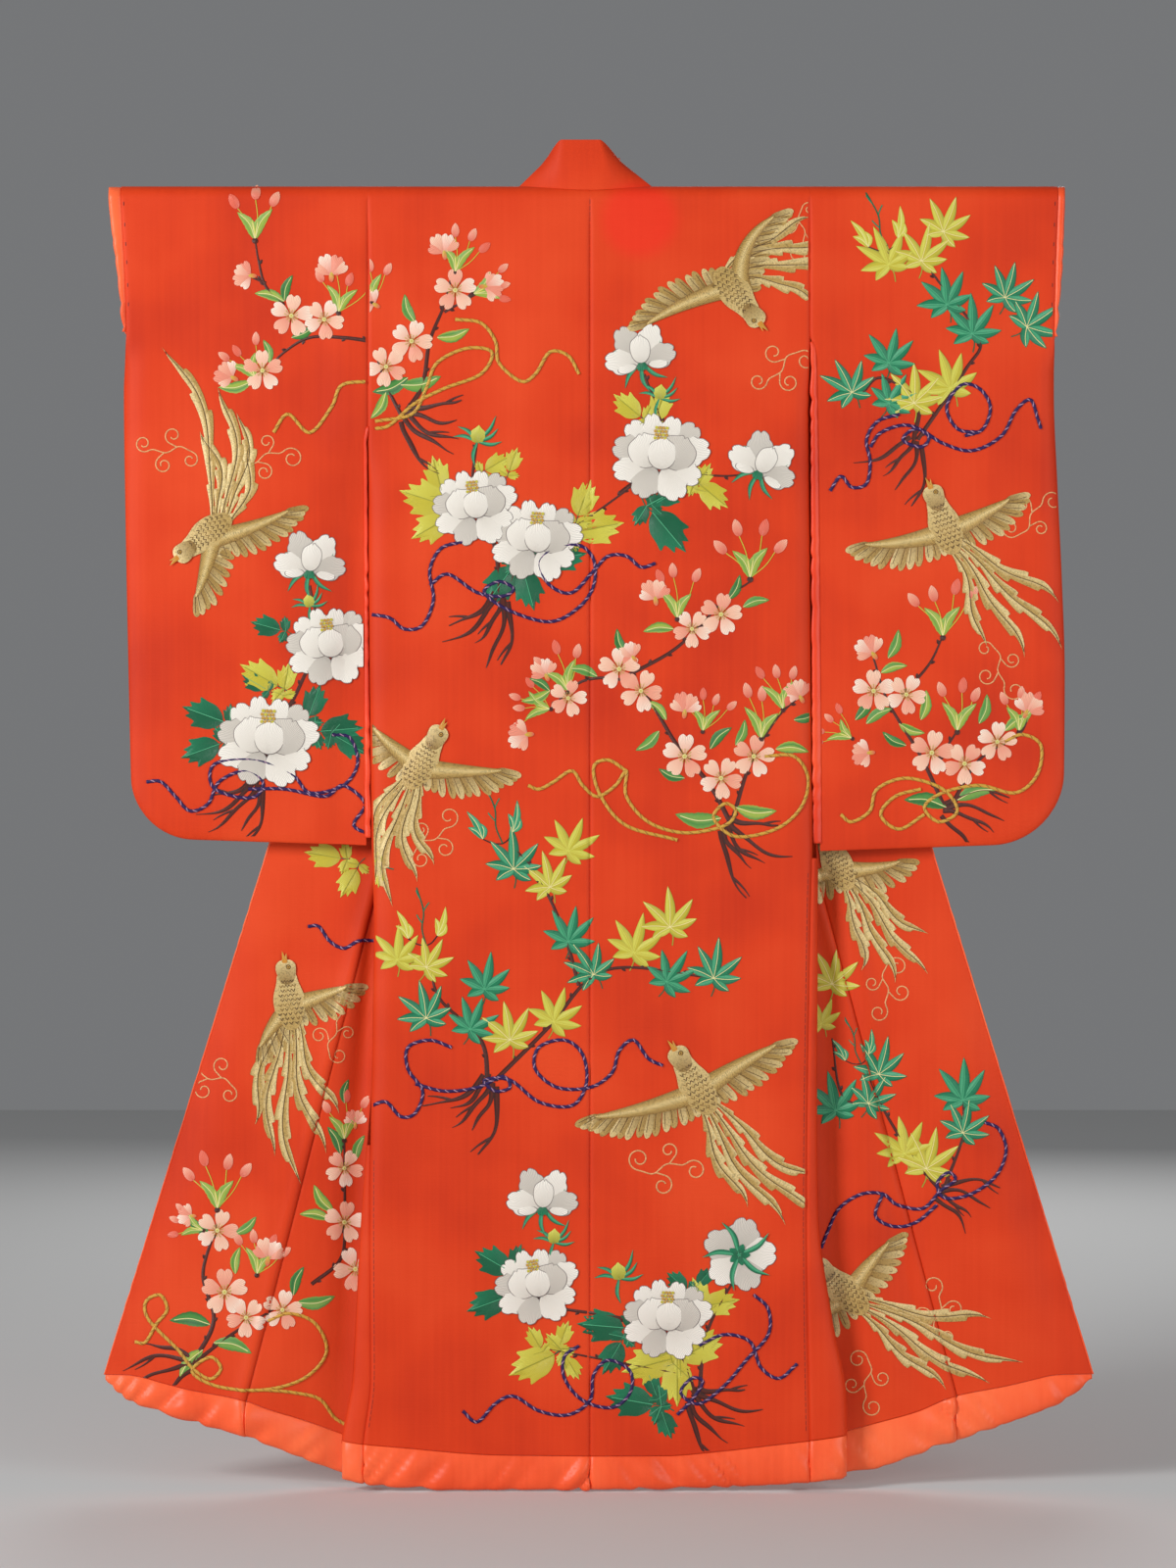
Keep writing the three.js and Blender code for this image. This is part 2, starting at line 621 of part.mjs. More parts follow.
// A narrow roll along an upright edge: width goes sideways from the edge, half thickness front and back.
function edgeRoll(name, path, limit) {
  const loops = path.map(({ at, direction, width, half }) => ROLL_SECTION.map(({ down, out }) => limit(
    new THREE.Vector3(at.x + direction * (SEAM_GAP + down * width), at.y + out * half, at.z))));
  return roll(name, loops);
}

// Along the sleeve's rows from first to last, at the column u.
function sleeveEdgePath(side, facing, u, rows, outward, widthAt, half) {
  const shape = sleeveShape(side);
  return rows.map((row) => {
    const { x, z, depth } = shape.at(u, row);
    const at = new THREE.Vector3(side.sign * x, facing * depth, z);
    return { at, direction: side.sign * outward, width: widthAt(z), half };
  });
}

function wristRoll(name, side, facing, limit) {
  const { levels } = sleeveShape(side);
  const open = levels.filter((z) => z >= side.sleeve.wrist - WRIST_END_ROOM).length;
  const rows = [WRIST_FIRST_ROW];
  for (let row = 1; row <= CREST_STEPS + open; row += 1) rows.push(row);
  const widthAt = (z) => read(side.sleeve.wristRoll, 'z', 'w', z);
  const path = sleeveEdgePath(side, facing, 1, rows, 1, widthAt, WRIST_HALF_THICKNESS);
  return edgeRoll(name, path, limit);
}

function slitRoll(name, side, facing, limit) {
  const shape = sleeveShape(side);
  const first = CREST_STEPS + 1 + shape.levels.filter((z) => z >= side.armhole).length;
  const rows = [];
  for (let row = first; row < shape.rows - 1; row += 1) rows.push(row);
  const path = sleeveEdgePath(side, facing, 0, rows, -1, () => SLIT_ROLL_WIDTH, SLIT_HALF_THICKNESS);
  return edgeRoll(name, path, limit);
}

// ---- assembly ----

const kimono = new THREE.Group();
kimono.name = 'furisode';

for (const [label, side] of Object.entries(SIDES)) {
  const back = backSurface(side);
  const hanging = hangingSurface(side);
  const strip = stripSurface(side);
  const turned = frontTurnedSurface(side);
  const okumi = okumiSurface(side);
  const columns = sleeveColumns(side);
  kimono.add(
    wall(`back_${label}`, BACK_COLUMNS, back, behindMiddle),
    wall(`front_${label}_hanging`, HANGING_COLUMNS, hanging, beforeMiddle),
    wall(`front_${label}_strip`, STRIP_COLUMNS, strip, behindMiddle),
    wall(`front_${label}_turned`, TURNED_COLUMNS, turned, anywhere),
    wall(`okumi_${label}`, OKUMI_COLUMNS, okumi, anywhere),
    wall(`collar_${label}`, COLLAR_COLUMNS, collarFrontSurface(side), anywhere),
    wall(`collar_${label}_tail`, [0, 1], collarTailSurface(side), beforeMiddle),
    wall(`sleeve_${label}_back`, columns, sleeveSurface(side, -1), behindMiddle),
    wall(`sleeve_${label}_front`, columns, sleeveSurface(side, 1), beforeMiddle),
  );

  const hems = [
    { panel: 'back', surface: back, across: BACK_COLUMNS, table: side.hem, limit: behindMiddle },
    { panel: 'strip', surface: strip, across: STRIP_COLUMNS, table: side.hem, limit: behindMiddle },
    { panel: 'hanging', surface: hanging, across: HANGING_COLUMNS, table: side.hem, limit: betweenLayers },
    { panel: 'turned', surface: turned, across: TURNED_COLUMNS, table: side.turnedHem, limit: anywhere },
    { panel: 'okumi', surface: okumi, across: OKUMI_COLUMNS, table: side.turnedHem, limit: anywhere },
  ];
  for (const { panel, surface, across, table, limit } of hems) {
    const half = panel === 'hanging' ? HIDDEN_HALF_THICKNESS : HEM_HALF_THICKNESS;
    kimono.add(hemRoll(`hem_${panel}_${label}`, side, surface, across, table, half, limit));
  }
  for (const { half, facing, limit } of [
    { half: 'back', facing: -1, limit: behindMiddle },
    { half: 'front', facing: 1, limit: beforeMiddle },
  ]) {
    kimono.add(wristRoll(`wrist_edge_${label}_${half}`, side, facing, limit));
    kimono.add(slitRoll(`slit_edge_${label}_${half}`, side, facing, limit));
  }
}
kimono.add(wall('collar_back', COLLAR_BACK_COLUMNS, collarBack, anywhere));

export default kimono;
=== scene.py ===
"""Furisode kimono hung flat over a rod, back outwards: silk panels, rolled lining edges and embroidery.

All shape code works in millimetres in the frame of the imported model; meshes are written in metres.
x goes to the right as seen from the back, z goes up, and the back of the garment faces -y.
"""

import math

import bpy
import numpy as np
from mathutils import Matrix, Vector


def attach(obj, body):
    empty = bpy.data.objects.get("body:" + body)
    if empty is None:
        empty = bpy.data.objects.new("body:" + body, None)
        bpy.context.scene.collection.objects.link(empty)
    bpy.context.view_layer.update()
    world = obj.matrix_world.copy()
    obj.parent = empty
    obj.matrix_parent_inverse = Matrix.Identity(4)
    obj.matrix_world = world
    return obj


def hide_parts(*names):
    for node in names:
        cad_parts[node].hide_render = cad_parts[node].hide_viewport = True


bl_info = {
    "name": "Furisode Kimono",
    "version": (1, 0, 0),
    "blender": (4, 5, 0),
    "location": "View3D > Sidebar > Kimono",
    "description": "Builds a hung furisode with rolled hems and raised silk and gold embroidery",
    "category": "Object",
}

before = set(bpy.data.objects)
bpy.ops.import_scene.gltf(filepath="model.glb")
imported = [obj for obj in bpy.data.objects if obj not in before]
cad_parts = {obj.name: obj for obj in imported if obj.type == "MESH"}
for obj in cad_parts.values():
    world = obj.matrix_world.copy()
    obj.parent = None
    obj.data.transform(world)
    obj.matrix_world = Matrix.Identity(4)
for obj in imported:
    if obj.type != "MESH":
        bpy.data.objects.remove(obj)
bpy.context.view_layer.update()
MM = 0.001

# ---- cloth measures, in mm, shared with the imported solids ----

CLOTH = 2.0
HALF_CLOTH = CLOTH / 2
HALF_GAP = 0.15
CREST_RADIUS = 19.0
CLOSE_WIDTH = 30.0
TURNED_DEPTH = 25.0
SIDE_OPENING = 130.0
TURN_TOP = -189.0
COLLAR_HEIGHT = 63.0
COLLAR_WIDTH = 70.0
COLLAR_END = -815.0
COLLAR_END_SLANT = 14.0
BAND_TOP = COLLAR_HEIGHT - 20
TAIL_TOP, TAIL_BOTTOM = -26.0, -130.0
NECK_DROP_ANGLE = math.radians(47)
CREST_BOTTOM = -HALF_CLOTH - CREST_RADIUS


def clamp01(value):
    return np.clip(value, 0.0, 1.0)


def mix(start, end, share):
    return start + (end - start) * share


def smooth(share):
    share = clamp01(share)
    return share * share * (3 - 2 * share)


def curve(*points):
    """A smooth curve through (at, value) points that never swings past them."""
    points = sorted(points)
    at = np.array([p[0] for p in points], float)
    value = np.array([p[1] for p in points], float)
    step = np.diff(at)
    slope = np.diff(value) / step
    tangent = np.concatenate([slope[:1], np.zeros(len(points) - 2), slope[-1:]])
    for k in range(1, len(points) - 1):
        if slope[k - 1] * slope[k] > 0:
            tangent[k] = 2 * slope[k - 1] * slope[k] / (slope[k - 1] + slope[k])

    def read(x):
        x = np.clip(x, at[0], at[-1])
        k = np.clip(np.searchsorted(at, x, side="right") - 1, 0, len(at) - 2)
        t = (x - at[k]) / step[k]
        rise = value[k] * (1 + 2 * t) * (1 - t) ** 2 + value[k + 1] * t * t * (3 - 2 * t)
        return rise + step[k] * (tangent[k] * t * (1 - t) ** 2 - tangent[k + 1] * t * t * (1 - t))

    return read


BODY_DEPTH = curve((0, 18), (-900, 13), (-1750, 9))
SLEEVE_DEPTH = curve((0, 18), (-450, 11), (-900, 5))


class Side:
    """Outlines of one side of the garment, as distances from the centre seam."""

    def __init__(self, label, sign, neck, neck_top, collar_top, armhole, turn_hem, strip_top, side, strip,
                 okumi, edge, hem, turned_hem, sleeve_inner, sleeve_outer, sleeve_bottom, corner, wrist_roll):
        self.label, self.sign, self.neck, self.neck_top = label, sign, neck, neck_top
        self.collar_top, self.armhole, self.strip_top = collar_top, armhole, strip_top
        self.side_seam = curve(*side)
        self.strip = curve(*strip)
        self.okumi_at, self.okumi_slope = okumi
        self.edge_at, self.edge_slope = edge
        self.hem = curve(*[(x, seam) for x, seam, _ in hem])
        self.hem_bottom = curve(*[(x, low) for x, _, low in hem])
        self.turned_hem = curve(*[(x, seam) for x, seam, _ in turned_hem])
        self.turned_bottom = curve(*[(x, low) for x, _, low in turned_hem])
        self.hem_end = turned_hem[-1][0]
        self.sleeve_inner = curve(*sleeve_inner)
        self.sleeve_outer = curve(*sleeve_outer)
        self.bottom_inner, self.bottom_outer = sleeve_bottom
        self.corner = corner
        self.wrist_roll = curve(*wrist_roll)
        self.wrist = min(z for z, _ in wrist_roll)
        collar_reach = self.edge(COLLAR_END) - collar_top
        self.collar_slope = collar_reach / (COLLAR_HEIGHT - COLLAR_END)
        self.turn_top_x = self.collar_seam(TURN_TOP)
        self.turn_slope = (turn_hem - self.turn_top_x) / (TURN_TOP - turned_hem[0][1])
        seam_offset = self.okumi(0) - self.collar_seam(0)
        self.okumi_top = seam_offset / (self.okumi_slope - self.collar_slope)

    def edge(self, z):
        return self.edge_at[1] + self.edge_slope * (self.edge_at[0] - z)

    def okumi(self, z):
        return self.okumi_at[1] + self.okumi_slope * (self.okumi_at[0] - z)

    def collar_out(self, z):
        return self.collar_top + self.collar_slope * (COLLAR_HEIGHT - z)

    def collar_seam(self, z):
        return self.collar_out(z) - COLLAR_WIDTH

    def turn(self, z):
        return self.turn_top_x + self.turn_slope * (TURN_TOP - z)

    def side_fold(self, z):
        return self.side_seam(z) + np.where(z < self.strip_top + 90, self.strip(z), 0)

    def neckline(self, z):
        return mix(self.neck, self.turn_top_x, clamp01(z / TURN_TOP))


LEFT = Side(
    "left", -1, neck=93, neck_top=43, collar_top=34, armhole=-324, turn_hem=285, strip_top=-1320,
    side=[(0, 305), (-324, 305), (-907, 300), (-1000, 297), (-1420, 302), (-1640, 301), (-1735, 312),
          (-1790, 316)],
    strip=[(-1228, 0), (-1417, 12), (-1633, 25), (-1721, 30), (-1790, 27)],
    okumi=((-987, 300), 0.256), edge=((-917, 445), 0.312),
    hem=[(0, -1747, -1793), (125, -1746, -1793.5), (167, -1744, -1794), (244, -1737, -1791),
         (312, -1731, -1785), (343, -1727, -1779)],
    turned_hem=[(285, -1740, -1788), (343, -1721, -1777), (400, -1701, -1756), (444, -1687, -1737),
                (477, -1675, -1725), (566, -1659, -1700), (604, -1650, -1688), (634, -1643, -1678),
                (652, -1641, -1666), (671, -1641, -1647)],
    sleeve_inner=[(0, 305), (-324, 305), (-350, 309), (-907, 308)],
    sleeve_outer=[(0, 645), (-203, 637), (-284, 641), (-440, 639), (-697, 634), (-907, 629)],
    sleeve_bottom=(-907, -896), corner=82,
    wrist_roll=[(0, 17), (-14, 17), (-128, 10), (-203, 5)],
)
RIGHT = Side(
    "right", 1, neck=81, neck_top=22, collar_top=22, armhole=-203, turn_hem=280, strip_top=-925,
    side=[(0, 302), (-203, 302), (-907, 305), (-1000, 303), (-1420, 298), (-1725, 302), (-1790, 305)],
    strip=[(-880, 4), (-913, 8), (-1417, 16), (-1560, 34), (-1674, 52), (-1790, 50)],
    okumi=((-956, 316), 0.267), edge=((-909, 470), 0.307),
    hem=[(0, -1747, -1793), (100, -1747, -1791.5), (178, -1741, -1789.5), (246, -1733, -1787),
         (305, -1726, -1783), (355, -1719, -1777)],
    turned_hem=[(280, -1735, -1788), (339, -1720, -1777), (398, -1705, -1769), (447, -1692, -1752),
                (505, -1670, -1731), (586, -1654, -1703), (622, -1646, -1690), (652, -1640, -1677),
                (674, -1639, -1662), (693, -1639, -1645)],
    sleeve_inner=[(0, 302), (-203, 302), (-230, 309), (-650, 315), (-915, 317)],
    sleeve_outer=[(0, 643), (-203, 638), (-284, 638), (-413, 643), (-541, 649), (-671, 653), (-915, 651)],
    sleeve_bottom=(-915, -903), corner=96,
    wrist_roll=[(0, 10), (-94, 10), (-203, 4)],
)
SIDES = (LEFT, RIGHT)

# ---- depth of the hanging cloth ----


def bulge(distance):
    share = 1 - clamp01(distance / CLOSE_WIDTH)
    return np.sqrt(1 - share * share)


def hanging_depth(depths, z):
    below = -HALF_CLOTH - z
    arc = np.sqrt(np.maximum(0, CREST_RADIUS ** 2 - (CREST_RADIUS - below) ** 2))
    return np.where(below < CREST_RADIUS, arc, depths(z) + HALF_CLOTH)


def wave(x, z, size):
    return size * np.sin(x / 70 + z / 420) * clamp01(-z / 600)


# Creases: x and z of both ends in mm, then width and height; a negative height is a trough.
BACK_CREASES = (
    (-290, -60, -180, -330, 26, 1.2),
    (-60, -40, -90, -420, 30, 0.9),
    (120, -50, 150, -380, 34, 1.0),
    (250, -70, 265, -600, 22, -1.4),
    (-255, -420, -270, -900, 24, -1.3),
    (-20, -700, -60, -1180, 40, 1.0),
    (60, -900, 95, -1500, 46, 1.4),
    (-160, -1150, -190, -1700, 40, 1.6),
    (215, -1000, 235, -1650, 34, -1.8),
    (-286, -1050, -292, -1700, 16, 2.0),
    (-120, -1560, -70, -1740, 30, -1.6),
    (150, -1600, 110, -1745, 30, 1.4),
    (-300, -905, 300, -900, 7, -0.5),
    (-300, -1345, 300, -1350, 8, -0.5),
)
SLEEVE_CREASES = (
    (-620, -40, -600, -420, 30, 1.2),
    (-480, -30, -470, -300, 36, -1.0),
    (-335, -60, -345, -500, 26, 1.4),
    (-330, -420, -334, -880, 20, -2.6),
    (-560, -560, -575, -870, 34, 1.2),
    (-440, -620, -425, -880, 40, -1.1),
    (350, -60, 362, -480, 26, -1.6),
    (470, -30, 480, -330, 40, 1.0),
    (600, -60, 585, -520, 30, -1.1),
    (345, -520, 350, -900, 24, 1.6),
    (520, -560, 505, -890, 44, 1.2),
    (610, -600, 615, -840, 26, -1.0),
    (-640, -470, -310, -468, 7, -0.4),
    (315, -455, 645, -457, 7, -0.4),
)
TURNED_CREASES = (
    (318, -880, 344, -1700, 26, -4.0),
    (-352, -1180, -460, -1640, 20, -4.0),
    (-325, -1250, -400, -1690, 26, 3.5),
    (-420, -930, -560, -1500, 40, 3.0),
    (-470, -950, -640, -1560, 24, -2.2),
    (345, -960, 400, -1200, 14, 5.0),
    (392, -1150, 470, -1640, 18, -5.0),
    (360, -1250, 420, -1690, 26, 4.0),
    (480, -1000, 600, -1580, 40, 3.2),
    (530, -1100, 660, -1600, 24, -2.4),
    (420, -930, 470, -1250, 30, 2.4),
)


def crease_depth(creases, x, z):
    """Soft troughs and ridges: how far the cloth stands out at x, z."""
    total = np.zeros_like(x)
    for x0, z0, x1, z1, width, height in creases:
        run = np.hypot(x1 - x0, z1 - z0)
        along = ((x - x0) * (x1 - x0) + (z - z0) * (z1 - z0)) / run ** 2
        off = ((x - x0) * (z1 - z0) - (z - z0) * (x1 - x0)) / run
        ends = smooth(along * 5 + 0.3) * smooth((1 - along) * 5 + 0.3)
        total += height * np.exp(-(off / width) ** 2) * ends
    return total


def seam_dip(distance, depth=3.0, width=1.9):
    """Cloth that turns in at a seam, as a share of a small round edge."""
    return depth * np.exp(-(distance / width) ** 2)


def body_depth(side, x, z):
    depth = hanging_depth(BODY_DEPTH, z)
    shut = HALF_GAP + HALF_CLOTH + (depth - HALF_CLOTH) * bulge(side.side_fold(z) - x)
    return mix(depth, shut, smooth((side.armhole - z) / SIDE_OPENING))


def back_depth(side, x, z):
    """How far the back panel's middle lies towards the viewer."""
    depth = body_depth(side, x, z) + wave(x, z, 2.5) * (1 - clamp01(x / 300))
    crest = clamp01(-z / 60)
    creased = crease_depth(BACK_CREASES, side.sign * x, z)
    depth = depth + crest * creased * clamp01((side.side_fold(z) - x) / 20)
    return depth - crest * seam_dip(x) - crest * seam_dip(side.side_seam(z) - x, 2.4, 1.9)


def sleeve_bottom(side, u):
    width = side.sleeve_outer(side.bottom_outer) - side.sleeve_inner(side.bottom_inner)
    from_corner = np.maximum(0, side.corner - width * (1 - u))
    rise = side.corner - np.sqrt(np.maximum(0, side.corner ** 2 - from_corner ** 2))
    return mix(side.bottom_inner, side.bottom_outer, u) + rise


def sleeve_depth(side, x, z, facing=-1):
    """How far a sleeve wall's middle lies from the middle plane."""
    inner, outer = side.sleeve_inner(z), side.sleeve_outer(z)
    u = clamp01((x - inner) / (outer - inner))
    bottom = sleeve_bottom(side, u)
    hang = hanging_depth(SLEEVE_DEPTH, z)
    at_body = hanging_depth(BODY_DEPTH, z)
    sewn = smooth(1 - (x - inner) / 80) * smooth((z - side.armhole + 60) / 60)
    depth = mix(hang, at_body, sewn)
    closed = smooth((side.wrist - z) / 60)
    inside = bulge(z - bottom) * mix(1, bulge(outer - x), closed)
    total = HALF_GAP + HALF_CLOTH + (depth - HALF_CLOTH) * inside + wave(x - inner, z, 1.5) * inside
    tuck = 8.0 if side.sign < 0 else 3.0
    free_edge = smooth((side.armhole - z) / 160) * smooth(1 - (x - inner) / 75)
    total = total - tuck * free_edge * inside
    crest = clamp01(-z / 60)
    creased = crease_depth(SLEEVE_CREASES, -facing * side.sign * x, z)
    at_armhole = 1 - smooth((side.armhole - z) / 40)
    at_wrist = 1 - smooth((side.wrist - z) / 20)
    total = total + crest * creased * inside - crest * at_armhole * seam_dip(x - inner)
    total = total - crest * at_wrist * seam_dip(outer - x, 1.6, 2.2)
    return np.maximum(total, HALF_GAP)


FOLD_INNER = 297.0


def turned_depth(side, x, z):
    """Distance of a turned front's middle behind the middle plane."""
    swing = 1.5 if side.sign < 0 else 5
    depth = TURNED_DEPTH + wave(x, z, swing) * clamp01((x - 300) / 200)
    depth = depth - crease_depth(TURNED_CREASES, side.sign * x, z) * clamp01((x - 285) / 30)
    near_seam = x - side.okumi(z)
    if side.sign < 0:
        # The left front sinks into a deep fold between the overlap seam and the back panel, and its
        # overlap panel swings back towards its free edge.
        fold_width = np.maximum(1.0, side.okumi(z) - FOLD_INNER)
        into = clamp01(-near_seam / fold_width)
        low = smooth((-960 - z) / 200)
        depth = depth + 16 * clamp01(fold_width / 70) * np.sin(math.pi * into ** 1.6)
        depth = depth + low * (-9 * (1 - into) + 0.085 * np.maximum(0, near_seam))
    # On the left the overlap panel folds over the front, and on the right the front folds over it.
    over = -side.sign * near_seam
    fold = 1.6 * np.sign(over) * np.exp(-np.abs(over) / 16) + 2.6 * np.exp(-((over - 8) / 5) ** 2)
    return depth - fold * smooth((side.okumi_top - z) / 200) + seam_dip(near_seam, 1.6, 2.0)


# ---- colours and materials ----


def linear(hex_colour):
    """sRGB hex to linear RGBA."""
    parts = [int(hex_colour[i:i + 2], 16) / 255 for i in (1, 3, 5)]
    return (*[c / 12.92 if c <= 0.04045 else ((c + 0.055) / 1.055) ** 2.4 for c in parts], 1.0)


def add(tree, kind, inputs=None, **settings):
    """One shader node with its settings; an input is a value, or an output socket to link."""
    node = tree.nodes.new(kind)
    for key, value in settings.items():
        setattr(node, key, value)
    for key, value in (inputs or {}).items():
        if isinstance(value, bpy.types.NodeSocket):
            tree.links.new(value, node.inputs[key])
        else:
            node.inputs[key].default_value = value
    return node


def new_material(name):
    material = bpy.data.materials.new(name)
    material.use_nodes = True
    material.node_tree.nodes.clear()
    return material, material.node_tree


def finish_material(tree, shader):
    add(tree, "ShaderNodeOutputMaterial", {"Surface": shader.outputs["BSDF"]})


def ramp(tree, factor, *stops):
    """Colour ramp with (position, linear colour) stops."""
    node = add(tree, "ShaderNodeValToRGB", {"Fac": factor})
    elements = node.color_ramp.elements
    for _ in range(len(stops) - 2):
        elements.new(0.5)
    for element, (position, colour) in zip(elements, stops):
        element.position = position
        element.color = colour
    return node.outputs["Color"]


def silk_cloth(name, deep, middle, bright, roughness, sheen=0.0, gloss=0.22, stain=False):
    """Dyed woven silk: soft even colour, a faint warp streak, a fine crepe grain and a low satin sheen."""
    material, tree = new_material(name)
    where = add(tree, "ShaderNodeTexCoord").outputs["Object"]
    cloud = add(tree, "ShaderNodeTexNoise", {
        "Vector": where, "Scale": 3.5, "Detail": 3.0, "Roughness": 0.55})
    # Warp streaks run down the cloth, so the pattern is stretched along z.
    warp_at = add(tree, "ShaderNodeMapping", {"Vector": where, "Scale": (150.0, 150.0, 3.0)})
    warp = add(tree, "ShaderNodeTexNoise", {"Vector": warp_at.outputs["Vector"], "Scale": 1.0, "Detail": 2.0})
    streak = add(tree, "ShaderNodeMath", {0: warp.outputs["Fac"], 1: 0.12, 2: 0.44}, operation="MULTIPLY_ADD")
    shade = add(tree, "ShaderNodeMath", {0: cloud.outputs["Fac"], 1: streak.outputs["Value"]},
                operation="ADD")
    half = add(tree, "ShaderNodeMath", {0: shade.outputs["Value"], 1: 0.5}, operation="MULTIPLY")
    stops = ((0.41, linear(deep)), (0.5, linear(middle)), (0.59, linear(bright)))
    colour = ramp(tree, half.outputs["Value"], *stops)
    if stain:
        spot = add(tree, "ShaderNodeVectorMath", {0: where, 1: STAIN_CENTRE}, operation="SUBTRACT")
        flat = add(tree, "ShaderNodeVectorMath", {0: spot.outputs["Vector"], 1: (1.0, 0.0, 1.0)},
                   operation="MULTIPLY")
        far = add(tree, "ShaderNodeVectorMath", {0: flat.outputs["Vector"]}, operation="LENGTH")
        fade = add(tree, "ShaderNodeMapRange", {
            "Value": far.outputs["Value"], "From Min": STAIN_RADIUS, "From Max": STAIN_RADIUS + STAIN_FADE,
            "To Min": 0.5, "To Max": 0.0}, interpolation_type="SMOOTHSTEP")
        tint = add(tree, "ShaderNodeMix", {"Factor": fade.outputs["Result"], 6: colour, 7: linear("#ee2417")},
                   data_type="RGBA")
        colour = tint.outputs[2]
    # Crepe grain of about 1.6 mm, drawn coarser than the real 0.5 mm so that it shows.
    grain = add(tree, "ShaderNodeTexNoise", {
        "Vector": where, "Scale": 620.0, "Detail": 2.0, "Roughness": 0.6})
    slub_at = add(tree, "ShaderNodeMapping", {"Vector": where, "Scale": (40.0, 40.0, 420.0)})
    slub = add(tree, "ShaderNodeTexNoise", {"Vector": slub_at.outputs["Vector"], "Scale": 1.0, "Detail": 1.0})
    both = add(tree, "ShaderNodeMath", {0: grain.outputs["Fac"], 1: slub.outputs["Fac"]}, operation="ADD")
    bump = add(tree, "ShaderNodeBump", {
        "Height": both.outputs["Value"], "Strength": 0.22, "Distance": 0.0006})
    shader = add(tree, "ShaderNodeBsdfPrincipled", {
        "Base Color": colour, "Roughness": roughness, "Normal": bump.outputs["Normal"],
        "Specular IOR Level": gloss, "Sheen Weight": sheen, "Sheen Roughness": 0.45,
        "Sheen Tint": linear("#ffb59a")})
    finish_material(tree, shader)
    return material


def thread_silk(name, pitch, depth, roughness, metal=0.0, row_shade_contrast=0.25, fleck=0.0):
    """Rows of thread over a bump of the same rows: a painted highlight lightens each row's crown, and painted
    shade darkens the colour between rows.
    """
    material, tree = new_material(name)
    colour = add(tree, "ShaderNodeAttribute", attribute_name="thread_colour").outputs["Color"]
    run = add(tree, "ShaderNodeAttribute", attribute_name="stitch_run").outputs["Fac"]
    where = add(tree, "ShaderNodeTexCoord").outputs["Object"]
    drift = add(tree, "ShaderNodeTexNoise", {"Vector": where, "Scale": 180.0, "Detail": 2.0})
    uneven = add(tree, "ShaderNodeMath", {0: drift.outputs["Fac"], 1: 1.6, 2: run}, operation="MULTIPLY_ADD")
    phase = add(tree, "ShaderNodeMath", {0: uneven.outputs["Value"], 1: 2 * math.pi / pitch},
                operation="MULTIPLY")
    wave_row = add(tree, "ShaderNodeMath", {0: phase.outputs["Value"]}, operation="SINE")
    row = add(tree, "ShaderNodeMapRange", {
        "Value": wave_row.outputs["Value"], "From Min": -1.0, "To Min": 0.0})
    # Painted light and shade: the row wave lightens the thread colour on each crown and darkens it between
    # rows.
    strength = add(tree, "ShaderNodeMapRange", {"Value": row.outputs["Result"], "To Min": 1 - row_shade_contrast,
                                                "To Max": 1 + row_shade_contrast * 0.35})
    if fleck:
        speck = add(tree, "ShaderNodeTexNoise", {"Vector": where, "Scale": 420.0, "Detail": 1.0})
        dark = add(tree, "ShaderNodeMapRange", {
            "Value": speck.outputs["Fac"], "From Min": 0.35, "From Max": 0.5,
            "To Min": 1 - fleck, "To Max": 1.0})
        strength = add(tree, "ShaderNodeMath", {0: strength.outputs["Result"], 1: dark.outputs["Result"]},
                       operation="MULTIPLY")
    level = strength.outputs[0]
    tinted = add(tree, "ShaderNodeVectorMath", {0: colour, "Scale": level}, operation="SCALE")
    bump = add(tree, "ShaderNodeBump", {"Height": row.outputs["Result"], "Strength": 0.5, "Distance": depth})
    shader = add(tree, "ShaderNodeBsdfPrincipled", {
        "Base Color": tinted.outputs["Vector"], "Roughness": roughness, "Metallic": metal,
        "Normal": bump.outputs["Normal"], "Specular IOR Level": 0.4})
    finish_material(tree, shader)
    return material


STAIN_CENTRE = (0.0675, 0.0, -0.047)
STAIN_RADIUS = 0.036
STAIN_FADE = 0.03
MATERIALS = {}


def make_cloth_materials(look):
    MATERIALS["silk"] = silk_cloth("red crepe silk", "#c5300d", "#d73b11", "#e0461b", 0.6, sheen=0.02,
                                   stain=True)
    MATERIALS["lining"] = silk_cloth("vermilion lining silk", "#e64c24", "#fb6236", "#ff7444", 0.38,
                                     gloss=0.26)
    MATERIALS["edge"] = silk_cloth("bright red lining edge", "#cf3016", "#ea421f", "#f65a30", 0.4, gloss=0.3)
    # Satin stitches are really 0.4 mm apart, and the rows are drawn coarser so that they show.
    # Each thread material paints its rows lighter on the crowns and darker between them, as painted highlight
    # and painted shade.
    MATERIALS["floss"] = thread_silk("satin stitched silk floss", 1.5, 0.0003, 0.42)
    MATERIALS["gold"] = thread_silk("couched gold thread", 1.3, 0.0003, 0.36, metal=0.12, row_shade_contrast=0.3,
                                    fleck=0.3)
    MATERIALS["cord"] = thread_silk("twisted silk cord", 2.6, 0.0005, 0.5)


# ---- mesh building ----


def fresh_selection():
    for obj in list(bpy.context.selected_objects):
        obj.select_set(False)


def grid_object(name, points, materials):
    """A grid primitive whose vertices are set out over points[row][column] in mm."""
    rows, columns = points.shape[:2]
    fresh_selection()
    bpy.ops.mesh.primitive_grid_add(x_subdivisions=columns - 1, y_subdivisions=rows - 1, size=1.0)
    obj = bpy.context.active_object
    obj.name = name
    obj.data.name = name
    obj.data.vertices.foreach_set("co", (points.reshape(-1, 3) * MM).ravel())
    for material in materials:
        obj.data.materials.append(material)
    obj.data.update()
    return obj


